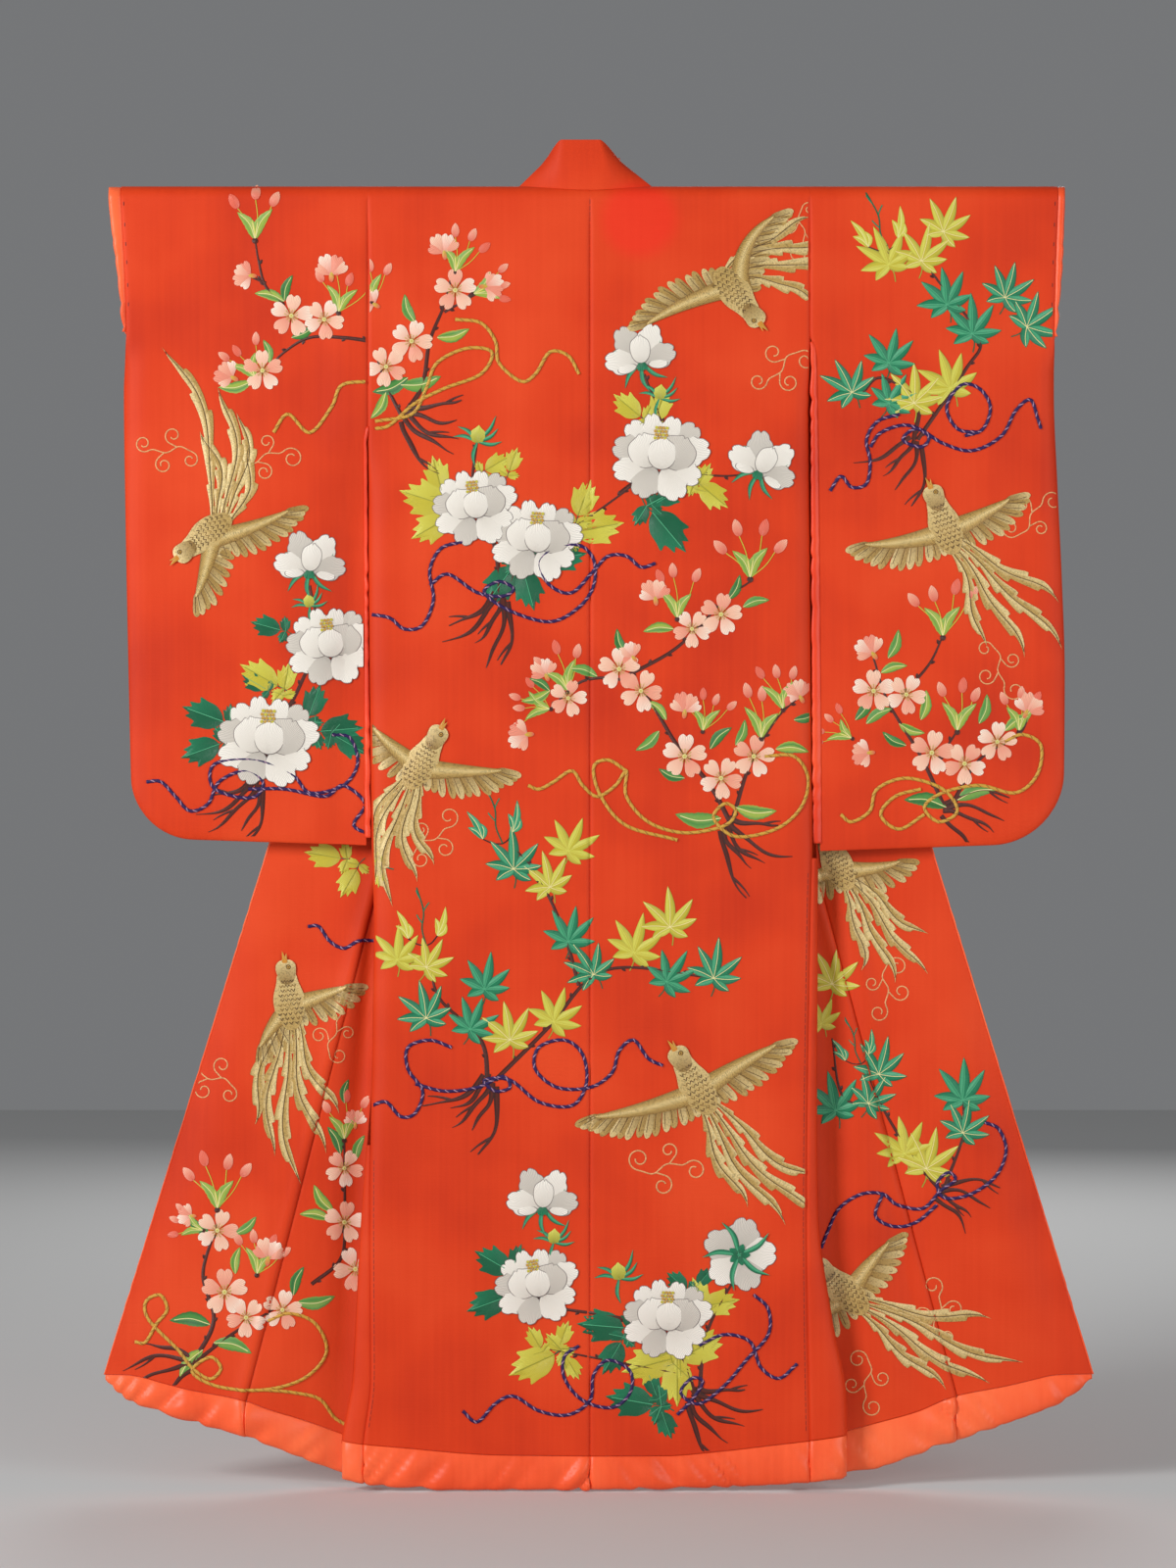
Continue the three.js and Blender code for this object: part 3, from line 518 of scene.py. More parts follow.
def apply_modifier(obj, kind, **settings):
    fresh_selection()
    obj.select_set(True)
    bpy.context.view_layer.objects.active = obj
    modifier = obj.modifiers.new(kind.title(), kind)
    for key, value in settings.items():
        setattr(modifier, key, value)
    bpy.ops.object.modifier_apply(modifier=modifier.name)


def shade_smooth(obj):
    obj.data.polygons.foreach_set("use_smooth", np.ones(len(obj.data.polygons), bool))
    obj.data.update()


def cloth_piece(name, points, nodes):
    """A thin shell of silk with its lining inside, which stands in for the imported parts that it hides."""
    obj = grid_object(name, points, [MATERIALS["silk"], MATERIALS["lining"]])
    apply_modifier(obj, "SOLIDIFY", thickness=CLOTH * MM, offset=0.0, use_rim=True, material_offset=1,
                   material_offset_rim=0)
    shade_smooth(obj)
    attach(obj, "root")
    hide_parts(*nodes)


def spaced(length, step, tight=(0.7, 1.8, 3.5, 6.5)):
    """Shares of a length, about a step apart, closer together at both ends."""
    middle = np.linspace(12, length - 12, max(2, int((length - 24) / step)))
    low = np.array([0, *tight])
    return np.concatenate([low, middle, length - low[::-1]]) / length


# Spacing of a sheet's rows and columns, and the rough lengths that set their number, in mm.
ROW_STEP = 9.0
COLUMN_STEP = 8.0
CREST_ROWS = 9
BACK_WIDTH = 304.0
HANGING_WIDTH = 250.0
TURNED_WIDTH = 160.0
OKUMI_WIDTH = 180.0
BODY_LENGTH = 1727.0
TURNED_LENGTH = 1500.0
STRIP_LENGTH = 800.0
SLEEVE_WIDTH = 335.0
SLEEVE_LENGTH = 890.0
BAND_LENGTH = 880.0

HEM_LEVEL = -1730.0
TURNED_HEM_LEVEL = -1675.0
POINT_TUCK = 5.0
FOLD_RADIUS = 3.0


def fold_curl(distance):
    """How far cloth has turned in at a distance from a round fold."""
    return FOLD_RADIUS - np.sqrt(np.maximum(0, FOLD_RADIUS ** 2 - np.maximum(0, FOLD_RADIUS - distance) ** 2))


def back_points(side):
    u = spaced(BACK_WIDTH, COLUMN_STEP)
    hem_x = u * side.side_seam(HEM_LEVEL)
    hem = side.hem(hem_x)
    start = NECK_DROP_ANGLE * np.maximum(0, 1 - (hem_x / side.neck) ** 2)
    rows = []
    for share in np.linspace(0, 1, CREST_ROWS)[:-1]:
        angle = mix(start, math.pi / 2, share)
        z = -HALF_CLOTH - CREST_RADIUS * (1 - np.cos(angle))
        rows.append((u * side.side_seam(z), CREST_RADIUS * np.sin(angle), z))
    for share in spaced(BODY_LENGTH, ROW_STEP, tight=(1.5, 4, 8)):
        z = mix(CREST_BOTTOM, hem, share)
        x = u * side.side_seam(z)
        rows.append((x, back_depth(side, x, z), z))
    return np.array([np.stack([side.sign * x, -depth, z], 1) for x, depth, z in rows])


def hanging_points(side):
    u = spaced(HANGING_WIDTH, COLUMN_STEP)
    hem = side.hem(side.side_seam(HEM_LEVEL))
    near_fold = TURNED_DEPTH - 5.5
    rows = []
    arc = -HALF_CLOTH - CREST_RADIUS * (1 - np.cos(np.linspace(0, math.pi / 2, CREST_ROWS)[:-1]))
    heights = np.concatenate([arc, mix(CREST_BOTTOM, hem, spaced(BODY_LENGTH, ROW_STEP, tight=(1.5, 4, 8)))])
    for z in heights:
        inner = float(side.neckline(z) if z > TURN_TOP else side.turn(z))
        outer = float(side.side_fold(z) if z < side.armhole else side.side_seam(z))
        x = mix(outer, inner, u)
        depth = body_depth(side, x, z) if z < CREST_BOTTOM else hanging_depth(BODY_DEPTH, z) + 0 * x
        reach = smooth(1 - (x - inner) / 45) * clamp01(-z / 500)
        depth = mix(depth, near_fold, reach)
        depth = depth + (fold_curl(x - inner) if z < TURN_TOP else 0)
        rows.append(np.stack([side.sign * x, depth, z + 0 * x], 1))
    return np.array(rows)


def strip_points(side):
    u = np.linspace(0, 1, 12)
    hem = side.hem(mix(side.side_seam(HEM_LEVEL), side.side_fold(HEM_LEVEL), u))
    rows = []
    for share in spaced(STRIP_LENGTH, ROW_STEP, tight=(2, 5)):
        z = mix(side.strip_top, hem, share)
        x = mix(side.side_seam(z), side.side_fold(z), u)
        depth = body_depth(side, x, z) - seam_dip(x - side.side_seam(z), 2.4, 1.9)
        rows.append(np.stack([side.sign * x, -depth, z], 1))
    return np.array(rows)


def turned_points(side, top, inner, outer, width, curl_fold=False):
    u = spaced(width, COLUMN_STEP)
    hem_x = mix(inner(TURNED_HEM_LEVEL), outer(TURNED_HEM_LEVEL), u)
    hem = side.turned_hem(hem_x)
    rows = []
    for share in spaced(TURNED_LENGTH, ROW_STEP, tight=(1.5, 4, 8)):
        z = mix(top, hem, share)
        x = mix(inner(z), outer(z), u)
        depth = turned_depth(side, x, z)
        if curl_fold:
            depth = depth - fold_curl(x - inner(z))
        rows.append(np.stack([side.sign * x, depth, z], 1))
    return np.array(rows)


def sleeve_points(side):
    """One tube wall from the back bottom up over the rod and down the front."""
    u = spaced(SLEEVE_WIDTH, COLUMN_STEP, tight=(0.5, 1.2, 2.5, 4.5, 8))
    bottom = sleeve_bottom(side, u)
    down = spaced(SLEEVE_LENGTH, ROW_STEP, tight=(0.4, 1.2, 3, 6, 10))
    arc = np.linspace(0, math.pi / 2, CREST_ROWS)

    def half(facing):
        rows = []
        for angle in arc[:-1]:
            z = -HALF_CLOTH - CREST_RADIUS * (1 - math.cos(angle))
            x = mix(side.sleeve_inner(z), side.sleeve_outer(z), u)
            y = facing * CREST_RADIUS * math.sin(angle)
            rows.append(np.stack([side.sign * x, y + 0 * x, z + 0 * x], 1))
        for share in down:
            z = mix(CREST_BOTTOM, bottom, share)
            x = mix(side.sleeve_inner(z), side.sleeve_outer(z), u)
            rows.append(np.stack([side.sign * x, facing * sleeve_depth(side, x, z, facing), z], 1))
        return rows

    back, front = half(-1), half(1)
    return np.array(back[::-1] + front[1:])


def outward(points, facing):
    """Flips the column order where needed, so that the grid's faces look to facing (-1 back, 1 front)."""
    row, column = points.shape[0] // 4, points.shape[1] // 2
    across = points[row, column + 1] - points[row, column]
    down = points[row + 1, column] - points[row, column]
    normal_y = np.cross(across, down)[1]
    return points if normal_y * facing > 0 else points[:, ::-1]


# ---- rolled, wadded edges ----

ROLL_STEP = 3.2
HEM_HALF = 7.0
HIDDEN_HEM_HALF = 4.0
FULL_HEM_HEIGHT = 46.0
THIN_HEM_SHARE = 0.12
HEM_PLEAT_PITCH = 36.0
# How far the rolls may stand out before and behind the cloth, and what the hidden hem leaves free.
NEAR_LIMIT, FAR_LIMIT = -40.0, 44.0
ROOM_BEFORE_TURNED = 7.8
WRIST_HALF = 3.4
PIPING_WIDTH = 2.6
PIPING_HALF = 1.7
SLIT_HALF = 3.0


def length_along(path):
    """The length walked from the first point to each point of a path."""
    return np.concatenate([[0], np.cumsum(np.linalg.norm(np.diff(path, axis=0), axis=1))])


def roll_loop(count=20):
    """Closed section of a wadded edge: down from the seam, and out to both faces."""
    angle = np.linspace(0, 2 * math.pi, count, endpoint=False)
    down = 0.5 - 0.5 * np.cos(angle)
    out = np.sin(angle) * (0.25 + 0.75 * np.sqrt(np.clip(down, 0, 1)))
    return down, out


def roll_object(name, loops, material, nodes):
    """A closed tube through loops[station][point] in mm, with both ends closed."""
    stations, count = loops.shape[:2]
    ends = [loops[0].mean(0), loops[-1].mean(0)]
    vertices = np.concatenate([loops.reshape(-1, 3), ends]) * MM
    faces = []
    for s in range(stations - 1):
        for k in range(count):
            n = (k + 1) % count
            faces.append((s * count + k, s * count + n, (s + 1) * count + n, (s + 1) * count + k))
    first, last = stations * count, stations * count + 1
    for k in range(count):
        n = (k + 1) % count
        faces.append((first, n, k))
        faces.append((last, (stations - 1) * count + k, (stations - 1) * count + n))
    mesh = bpy.data.meshes.new(name)
    mesh.from_pydata(vertices.tolist(), [], faces)
    obj = bpy.data.objects.new(name, mesh)
    bpy.context.collection.objects.link(obj)
    mesh.materials.append(MATERIALS[material])
    fresh_selection()
    obj.select_set(True)
    bpy.context.view_layer.objects.active = obj
    bpy.ops.object.mode_set(mode="EDIT")
    bpy.ops.mesh.select_all(action="SELECT")
    bpy.ops.mesh.normals_make_consistent(inside=False)
    bpy.ops.object.mode_set(mode="OBJECT")
    shade_smooth(obj)
    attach(obj, "root")
    if nodes:
        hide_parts(*nodes)


def puckers(along, down, pitch, slant, height, seed):
    """Slanting pleats pulled by the stitches of a wadded edge: each swells slowly and falls off steeply."""
    phase = along + slant * down
    uneven = 0.45 * np.sin(phase / 61 + seed) + 0.3 * np.sin(phase / 27 + 2.1 * seed)
    part = (phase / pitch + uneven) % 1.0
    rise = np.sin(part / 0.68 * math.pi / 2)
    fall = np.cos((part - 0.68) / 0.32 * math.pi / 2)
    pleat = np.where(part < 0.68, rise, fall) - 0.6
    strength = 0.6 + 0.5 * np.sin(along / 43 + seed * 1.7) + 0.35 * np.sin(along / 17 + seed)
    return height * pleat * np.maximum(strength, 0.15)


def hem_roll(panel, side, edge_points, limit, seed, half=HEM_HALF, slant=-0.8, pucker=11.0):
    """Wadded roll of lining under a panel's bottom edge; limit holds it between two depths."""
    run = length_along(edge_points)
    stations = np.linspace(0, run[-1], max(4, int(run[-1] / ROLL_STEP)))
    top = np.stack([np.interp(stations, run, edge_points[:, k]) for k in range(3)], 1)
    down, out = roll_loop()
    bottom_of = side.turned_bottom if panel in ("turned", "okumi") else side.hem_bottom
    height = top[:, 2] - bottom_of(side.sign * top[:, 0])
    thick = half * np.minimum(1, height / FULL_HEM_HEIGHT + THIN_HEM_SHARE)
    loops = np.zeros((len(stations), len(down), 3))
    for k, (d, o) in enumerate(zip(down, out)):
        # The pleats are deepest in the middle of the roll, and run out at the seam.
        swell = math.sin(math.pi * min(1, 0.1 + 0.75 * d)) ** 0.6
        dent = puckers(stations, d * height, HEM_PLEAT_PITCH, slant, pucker, seed) * swell
        loops[:, k, 0] = top[:, 0]
        loops[:, k, 1] = top[:, 1] + o * (thick + np.where(abs(o) > 0.1, dent * thick / half, 0))
        loops[:, k, 2] = top[:, 2] - 0.2 - d * height - 0.55 * dent * d ** 3
    loops[:, :, 1] = np.clip(loops[:, :, 1], *limit)
    roll_object(f"hem_roll_{panel}_{side.label}", loops, "lining", [f"hem_{panel}_{side.label}"])


def edge_roll(name, path, direction, widths, half, material, nodes, seed, pitch, pucker, limit=None):
    """A narrow wadded roll along an upright edge; path holds points in mm, widths go sideways."""
    down, out = roll_loop(14)
    run = length_along(path)
    stations = np.linspace(0, run[-1], int(run[-1] / ROLL_STEP))
    at = np.stack([np.interp(stations, run, path[:, k]) for k in range(3)], 1)
    wide = np.interp(stations, run, widths)
    loops = np.zeros((len(stations), len(down), 3))
    for k, (d, o) in enumerate(zip(down, out)):
        dent = puckers(stations, d * 8, pitch, 0.5, pucker, seed)
        loops[:, k, 0] = at[:, 0] + direction * (0.1 + d * (wide + dent))
        loops[:, k, 1] = at[:, 1] + o * (half + 0.8 * dent)
        loops[:, k, 2] = at[:, 2]
    if limit is not None:
        loops[:, :, 1] = np.clip(loops[:, :, 1], *limit)
    roll_object(name, loops, material, nodes)


# ---- embroidery: threads gathered as raised shapes on a panel ----

FLOSS, GOLD, CORD = "floss", "gold", "cord"

COLOURS = {
    "white": "#f5efe4", "pearl": "#e4dccf", "silver": "#c6beb2", "grey": "#d6cec2", "petal_line": "#857a75",
    "blush": "#fbe3cf", "pale": "#fad0b4", "pink": "#f6b295", "rose": "#f0937a", "coral": "#e96a52",
    "cream": "#efe2a0", "ochre": "#c79a3c", "straw": "#c9bc3a", "lemon": "#dad75a", "olive": "#a5a232",
    "leaf": "#4d8f40", "leaf_dark": "#2c6a34", "lime": "#a3b94a", "moss": "#79a64a",
    "teal": "#1c8058", "teal_dark": "#10603f", "teal_light": "#4fae7e",
    "bark": "#33100a", "bark_light": "#5c2418", "cut_wood": "#260f09",
    "purple": "#260f52", "fleck": "#c99fb6", "amber": "#d6a53e", "amber_dark": "#8c4a1c",
    "gold": "#c5a25c", "gold_light": "#e6cb8c", "gold_dark": "#98743a", "gold_line": "#5c4022",
    # The dark stitch colour is real sewing thread, and along the seams also painted shade of the seam line.
    "beak": "#dd8420", "curl": "#e9ab70", "seam_thread": "#7c1c10",
}


def shade_of(colour):
    """The dye of a name, or of each of several names; worked-out colours stay as they are."""
    if isinstance(colour, str):
        return np.array(linear(COLOURS[colour])[:3])
    if isinstance(colour, np.ndarray):
        return colour
    return np.array([shade_of(name) for name in colour])


def vary(number):
    """A steady, uneven value from 0 to 1 for the number given."""
    return (math.sin(number * 91.7 + 0.37) * 437.58) % 1.0


def spline(points, step=3.0):
    """Points along a smooth open curve through the given points, about a step apart."""
    p = np.array(points, float)
    p = np.concatenate([[2 * p[0] - p[1]], p, [2 * p[-1] - p[-2]]])
    pieces = []
    for k in range(1, len(p) - 2):
        a, b, c, d = p[k - 1:k + 3]
        t = np.linspace(0, 1, max(2, int(np.linalg.norm(c - b) / step)), endpoint=False)[:, None]
        pieces.append(0.5 * (2 * b + (c - a) * t + (2 * a - 5 * b + 4 * c - d) * t ** 2
                             + (3 * b - a - 3 * c + d) * t ** 3))
    return np.concatenate([*pieces, [p[-2]]])


class Panel:
    """A stretch of cloth that takes embroidery, and the seams that cut its pattern off."""

    def __init__(self, name, face, low, high, bottom):
        self.name, self.face, self.low, self.high, self.bottom = name, face, low, high, bottom
        self.sets = {finish: ([], [], [], [], []) for finish in (FLOSS, GOLD, CORD)}
        self.counts = {finish: 0 for finish in (FLOSS, GOLD, CORD)}

    def add(self, finish, points, lift, colour, stitch, faces):
        """points are x, z pairs; lift, colour and stitch have a value for each of them."""
        places, lifts, colours, stitches, all_faces = self.sets[finish]
        places.append(points)
        lifts.append(np.broadcast_to(lift, len(points)))
        colours.append(np.broadcast_to(colour, (len(points), 3)))
        stitches.append(np.broadcast_to(stitch, len(points)))
        all_faces.append(np.asarray(faces) + self.counts[finish])
        self.counts[finish] += len(points)

    def build(self, finish):
        places, lifts, colours, stitches, faces = [np.concatenate(part) for part in self.sets[finish]]
        x, z = places[:, 0], places[:, 1]
        low, high, bottom = self.low(z), self.high(z), self.bottom(x)
        outside = (x < low) | (x > high) | (z < bottom)
        x, z = np.clip(x, low, high), np.maximum(z, bottom)
        y = self.face(x, z) - lifts
        kept = faces[~outside[faces].all(axis=1)]
        points = np.stack([x, y, z], 1) * MM
        if self.name == "back":
            # The two back panels meet at the centre seam, and each has its own stitches.
            on_left = x[kept].mean(axis=1) < 0
            self.stitch(finish, "back_left", kept[on_left], points, colours, stitches)
            self.stitch(finish, "back_right", kept[~on_left], points, colours, stitches)
        else:
            self.stitch(finish, self.name, kept, points, colours, stitches)

    @staticmethod
    def stitch(finish, where, faces, points, colours, stitches):
        used, kept = np.unique(faces, return_inverse=True)
        kept = kept.reshape(faces.shape)
        points = points[used]
        first, second, third = (points[kept[:, k]] for k in range(3))
        turned = np.cross(second - first, third - first)[:, 1] > 0
        kept[turned] = kept[turned][:, ::-1]
        name = f"embroidery_{finish}_{where}"
        mesh = bpy.data.meshes.new(name)
        mesh.from_pydata(points.tolist(), [], kept.tolist())
        thread = mesh.attributes.new("thread_colour", "FLOAT_COLOR", "POINT")
        rgba = np.ones((len(points), 4))
        rgba[:, :3] = colours[used]
        thread.data.foreach_set("color", rgba.ravel())
        run = mesh.attributes.new("stitch_run", "FLOAT", "POINT")
        run.data.foreach_set("value", stitches[used])
        obj = bpy.data.objects.new(name, mesh)
        bpy.context.collection.objects.link(obj)
        mesh.materials.append(MATERIALS[finish])
        shade_smooth(obj)
        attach(obj, "root")


RIM_WIDTH = 0.8


class Pen:
    """Draws on a panel in its own turned and scaled frame, in mm."""

    def __init__(self, panel, x, z, size=1.0, turn=0.0, flip=False, layer=0.0):
        self.panel, self.at, self.size, self.layer = panel, np.array([x, z], float), size, layer
        self.axis = turned_by([(size, 0), (0, size)], turn)
        if flip:
            self.axis = np.array([[-1, 0], [0, 1]]) @ self.axis

    def place(self, points):
        return np.asarray(points, float) @ self.axis + self.at

    def ribbon(self, path, widths, colours, rise=0.5, lift=0.35, finish=FLOSS, slant=0.0, across=3,
               along=1.0):
        """A strip along a path. colours is one name, or a name for each point across."""
        path = self.place(path)
        count = len(path)
        half = np.broadcast_to(np.asarray(widths, float), count) * self.size / 2
        step = np.gradient(path, axis=0)
        step /= np.maximum(np.linalg.norm(step, axis=1, keepdims=True), 1e-9)
        side = np.stack([-step[:, 1], step[:, 0]], 1)
        run = length_along(path)
        shares = np.linspace(-1, 1, across)
        points = path[:, None] + side[:, None] * (half[:, None] * shares)[..., None]
        heights = lift + self.layer + rise * (1 - shares ** 2) * np.minimum(1, half / 1.0)[:, None] ** 0.5
        colour = shade_of(colours)
        if colour.ndim == 1:
            colour = np.broadcast_to(colour, (across, 3))
        if colour.ndim == 2:
            colour = np.broadcast_to(colour, (count, across, 3))
        stitch = along * run[:, None] + slant * np.abs(half[:, None] * shares)
        a = (np.arange(count - 1)[:, None] * across + np.arange(across - 1)).ravel()
        b = a + across
        faces = np.concatenate([np.stack([a, a + 1, b], 1), np.stack([a + 1, b + 1, b], 1)])
        self.panel.add(finish, points.reshape(-1, 2), heights.ravel(), colour.reshape(-1, 3), stitch.ravel(),
                       faces)

    def patch(self, outline, inner, outer, rim=None, root=(0.0, 0.0), rise=0.7, lift=0.35, finish=FLOSS,
              radial=True, rings=(1.0, 0.93, 0.68, 0.34)):
        """A filled, domed shape; its colour goes from inner at the root to outer far from it."""
        outline = np.asarray(outline, float)
        root = np.asarray(root, float)
        middle = outline.mean(0)
        reach = np.linalg.norm(outline - root, axis=1).max()
        if rim is not None:
            radius = np.linalg.norm(outline - middle, axis=1).mean() * self.size
            rings = (1.0, 1 - RIM_WIDTH / radius, 1 - 1.3 * RIM_WIDTH / radius, 0.7, 0.35)
        local = np.concatenate([middle + (outline - middle) * ring for ring in rings] + [[middle]])
        ring_share = np.concatenate([np.full(len(outline), ring) for ring in rings] + [[0.0]])
        far = clamp01(np.linalg.norm(local - root, axis=1) / reach)[:, None]
        colour = mix(shade_of(inner), shade_of(outer), far ** 1.2)
        if rim is not None:
            colour = np.where(ring_share[:, None] > rings[2] + 1e-6, shade_of(rim), colour)
        aim = math.atan2(*(middle - root)[::-1]) if np.linalg.norm(middle - root) > 1e-6 else 0.0
        away = local - root
        angle = (np.arctan2(away[:, 1], away[:, 0]) - aim + math.pi) % (2 * math.pi) - math.pi
        across = -away[:, 0] * math.sin(aim) + away[:, 1] * math.cos(aim)
        stitch = angle * reach * 0.55 * self.size if radial else across * self.size
        heights = lift + self.layer + rise * (1 - ring_share ** 2) * min(1.0, self.size)
        n = len(outline)
        k = np.arange(n)
        after = (k + 1) % n
        faces = []
        for r in range(len(rings) - 1):
            a, b = r * n + k, r * n + after
            faces += [np.stack([a, b, b + n], 1), np.stack([a, b + n, a + n], 1)]
        last = (len(rings) - 1) * n
        faces.append(np.stack([last + k, last + after, np.full(n, last + n)], 1))
        self.panel.add(finish, self.place(local), heights, colour, stitch, np.concatenate(faces))


def turned_by(points, degrees, move=(0.0, 0.0)):
    """Points turned clockwise, as seen by the viewer, and then moved."""
    angle = math.radians(degrees)
    turn = np.array([[math.cos(angle), -math.sin(angle)], [math.sin(angle), math.cos(angle)]])
    return np.asarray(points, float) @ turn + np.asarray(move, float)


def ring_points(radius, count=12, middle=(0.0, 0.0)):
    angle = np.linspace(0, 2 * math.pi, count, endpoint=False)
    return np.stack([radius * np.cos(angle), radius * np.sin(angle)], 1) + np.asarray(middle, float)


def closed_loop(half_shape, step=1.8):
    """A closed outline from the right half of a shape, which runs from its root up to its tip."""
    right = spline(half_shape, step)
    left = right[::-1] * (-1, 1)
    return np.concatenate([right, left[1:-1]])


# Right halves of petals, buds and feathers, root at 0, 0 and tip up.
NOTCHED_PETAL = ((0, 0), (2.4, 5), (7.6, 13), (10.6, 21), (9, 27.5), (4, 30.5), (0, 27))
BROAD_PETAL = ((0, 0), (9, 4), (19, 13), (24, 25), (22, 33), (17, 37), (15, 43), (8, 48), (3, 48), (0, 45))
CUP_PETAL = ((0, 0), (10, 2), (19, 9), (23, 20), (21, 30), (15, 35), (8, 38), (3, 41), (0, 38))
CURLED_LIP = ((0, 0), (5, 4), (8, 12), (8, 20), (4, 27), (0, 28))
BUD = ((0, 0), (4, 2), (6.5, 9), (5, 17), (1.5, 22), (0, 23))
POINTED_BUD = ((0, 0), (7, 2), (10, 9), (9.5, 16), (4, 21), (0, 25))
SCALE = ((0, 0), (2.2, 1), (2.6, 4), (1.2, 7), (0, 8))
CALYX = ((0, -9), (2.6, -7), (3.4, -1), (1.2, 4), (0, 5))
FEATHER = ((0, 0), (3.4, 6), (4.4, 18), (4.2, 28), (2.4, 33), (0, 34.5))
BIRD_BODY = ((0, -34), (9, -31), (20, -10), (22, 12), (16, 32), (12, 46), (0, 52))
BIRD_THROAT = ((0, -22), (8, -18), (14, 0), (13, 10), (7, 15), (0, 16))
BEAK = ((0, 0), (4.2, 2), (2.4, 10), (0, 20))
NOTCHED_LEAF = ((0, 0), (9, 5), (17, 16), (19, 29), (21, 40), (14, 38), (12, 42), (10, 52), (5, 47), (2, 55),
                (0, 60))


def cherry_flower(pen, tint=0):
    """Five notched petals of uneven pink round a pale eye with fine stamens."""
    tones = ("pale", "blush", "pale", "pink", "blush", "pale", "pink")
    for k in range(5):
        tone = tones[(k + tint) % 7]
        deeper = "pink" if tone in ("blush", "pale") else "rose"
        outline = turned_by(closed_loop(NOTCHED_PETAL), 72 * k)
        pen.patch(outline, deeper, tone, lift=0.35 + 0.05 * (k % 3))
    for k in range(13):
        angle = 2 * math.pi * (k + 0.3) / 13
        reach = 7.5 + 3 * vary(k + tint)
        way = np.array([math.cos(angle), math.sin(angle)])
        pen.ribbon([way * 2, way * reach * 0.6, way * reach], 0.8, "ochre", lift=1.15, rise=0.1)
        pen.patch(closed_loop(SCALE, 3) * 0.22 + way * reach, "cream", "straw", lift=1.3,
                  rise=0.2, rings=(1.0, 0.5))
    pen.patch(ring_points(3.2), "straw", "cream", lift=1.3, rise=0.4, rings=(1.0, 0.5))


def cherry_side(pen, tint=0):
    """A cherry flower seen from the side: four petals fanned over a small calyx."""
    for k, (angle, size) in enumerate(((-58, 0.8), (52, 0.85), (-22, 1.0), (20, 0.95))):
        tone = ("pink", "pale", "blush", "rose")[(k + tint) % 4]
        outline = turned_by(closed_loop(NOTCHED_PETAL) * (size * 0.9, size), angle)
        pen.patch(outline, "rose", tone, lift=0.35 + 0.06 * k)
    pen.patch(closed_loop(CALYX), "coral", "straw", root=(0, -9), lift=0.75)


def buds(pen, count=3, tint=0):
    """Oval buds on thin stalks that meet at one point."""
    for k in range(count):
        angle = (k - (count - 1) / 2) * 26 + 12 * (vary(k + tint) - 0.5)
        reach = 44 + 18 * vary(k * 3.1 + tint)
        tip = turned_by([(0, reach)], angle)[0]
        bend = turned_by([(3, reach * 0.55)], angle)[0]
        pen.ribbon(spline([(0, 0), bend, tip], 4), 1.3, "straw", rise=0.2)
        tone = "pink" if (k + tint) % 3 else "coral"
        pen.patch(turned_by(closed_loop(BUD), angle, tip), "coral", tone, root=tip, lift=0.4)


def cherry_tip(pen, tint=0):
    """The end of a twig: buds on stalks, two young leaves and two pale scales round a dark node."""
    buds(pen, 3 + tint % 2, tint)
    for k, heading in enumerate((-33, 30)):
        narrow_leaf(pen, 42 + 10 * vary(k + tint), 15, 5 - 10 * k, "lime", "moss", 5, turn=heading)
    for heading in (-8, 9):
        narrow_leaf(pen, 27, 6, 0.0, "lemon", "straw", 1, turn=heading)
    pen.patch(ring_points(4.2, 9, (0, -2)), "bark", "bark_light", lift=0.7, rise=0.5)


def narrow_leaf(pen, length=42.0, width=11.0, bend=5.0, light="lime", dark="leaf", teeth=7, turn=0.0,
                at=(0.0, 0.0)):
    """A toothed leaf with a midrib and slanting stitches."""
    path = turned_by(spline([(0, 0), (bend, length * 0.5), (0, length)], 2.2), turn, at)
    share = np.linspace(0, 1, len(path))
    saw = 1 - 0.14 * ((share * teeth) % 1.0)
    widths = width * np.sin(math.pi * share ** 0.85) ** 0.85 * saw + 0.3
    colours = [dark, light, light, dark, light]
    pen.ribbon(path, widths, colours, across=5, slant=-1.1)
    pen.ribbon(path[:-2], 0.8, "cream", lift=0.85, rise=0.1)


def cherry_leaf(pen, tint=0):
    """A single long leaf, dark or bright green."""
    light, dark = (("lime", "leaf"), ("leaf", "leaf_dark"), ("moss", "leaf"))[tint % 3]
    narrow_leaf(pen, 42, 15, 4 - 8 * (tint % 2), light, dark, 8)


def sepal(pen, length, width, heading, bend=4.0, lift=0.35, at=(0.0, 0.0)):
    """A long narrow green sepal."""
    path = turned_by(spline([(0, 0), (bend, length * 0.55), (0, length)], 3), heading, at)
    share = np.linspace(0, 1, len(path))
    shades = ["teal_dark", "teal", "teal_light", "teal"]
    pen.ribbon(path, width * np.sin(math.pi * clamp01(0.1 + 0.9 * share)) + 0.4, shades, across=4, slant=-0.8,
               lift=lift)


# Peony petals from back to front: heading, root x and z, width and length shares, tone, and the half shape.
FULL_PEONY = (
    (-40, -10, 2, 0.72, 0.86, "white", BROAD_PETAL), (38, 14, 2, 0.74, 0.88, "grey", BROAD_PETAL),
    (-12, -4, 6, 0.55, 0.84, "white", BROAD_PETAL), (14, 6, 6, 0.6, 0.8, "white", BROAD_PETAL),
    (-76, -8, -4, 0.78, 0.96, "grey", BROAD_PETAL), (74, 10, -2, 0.78, 1.02, "white", BROAD_PETAL),
    (-108, -6, -10, 0.72, 0.98, "white", BROAD_PETAL), (112, 8, -10, 0.7, 0.9, "white", BROAD_PETAL),
    (-154, -4, -14, 0.76, 0.82, "grey", BROAD_PETAL), (150, 6, -14, 0.78, 0.86, "white", BROAD_PETAL),
)
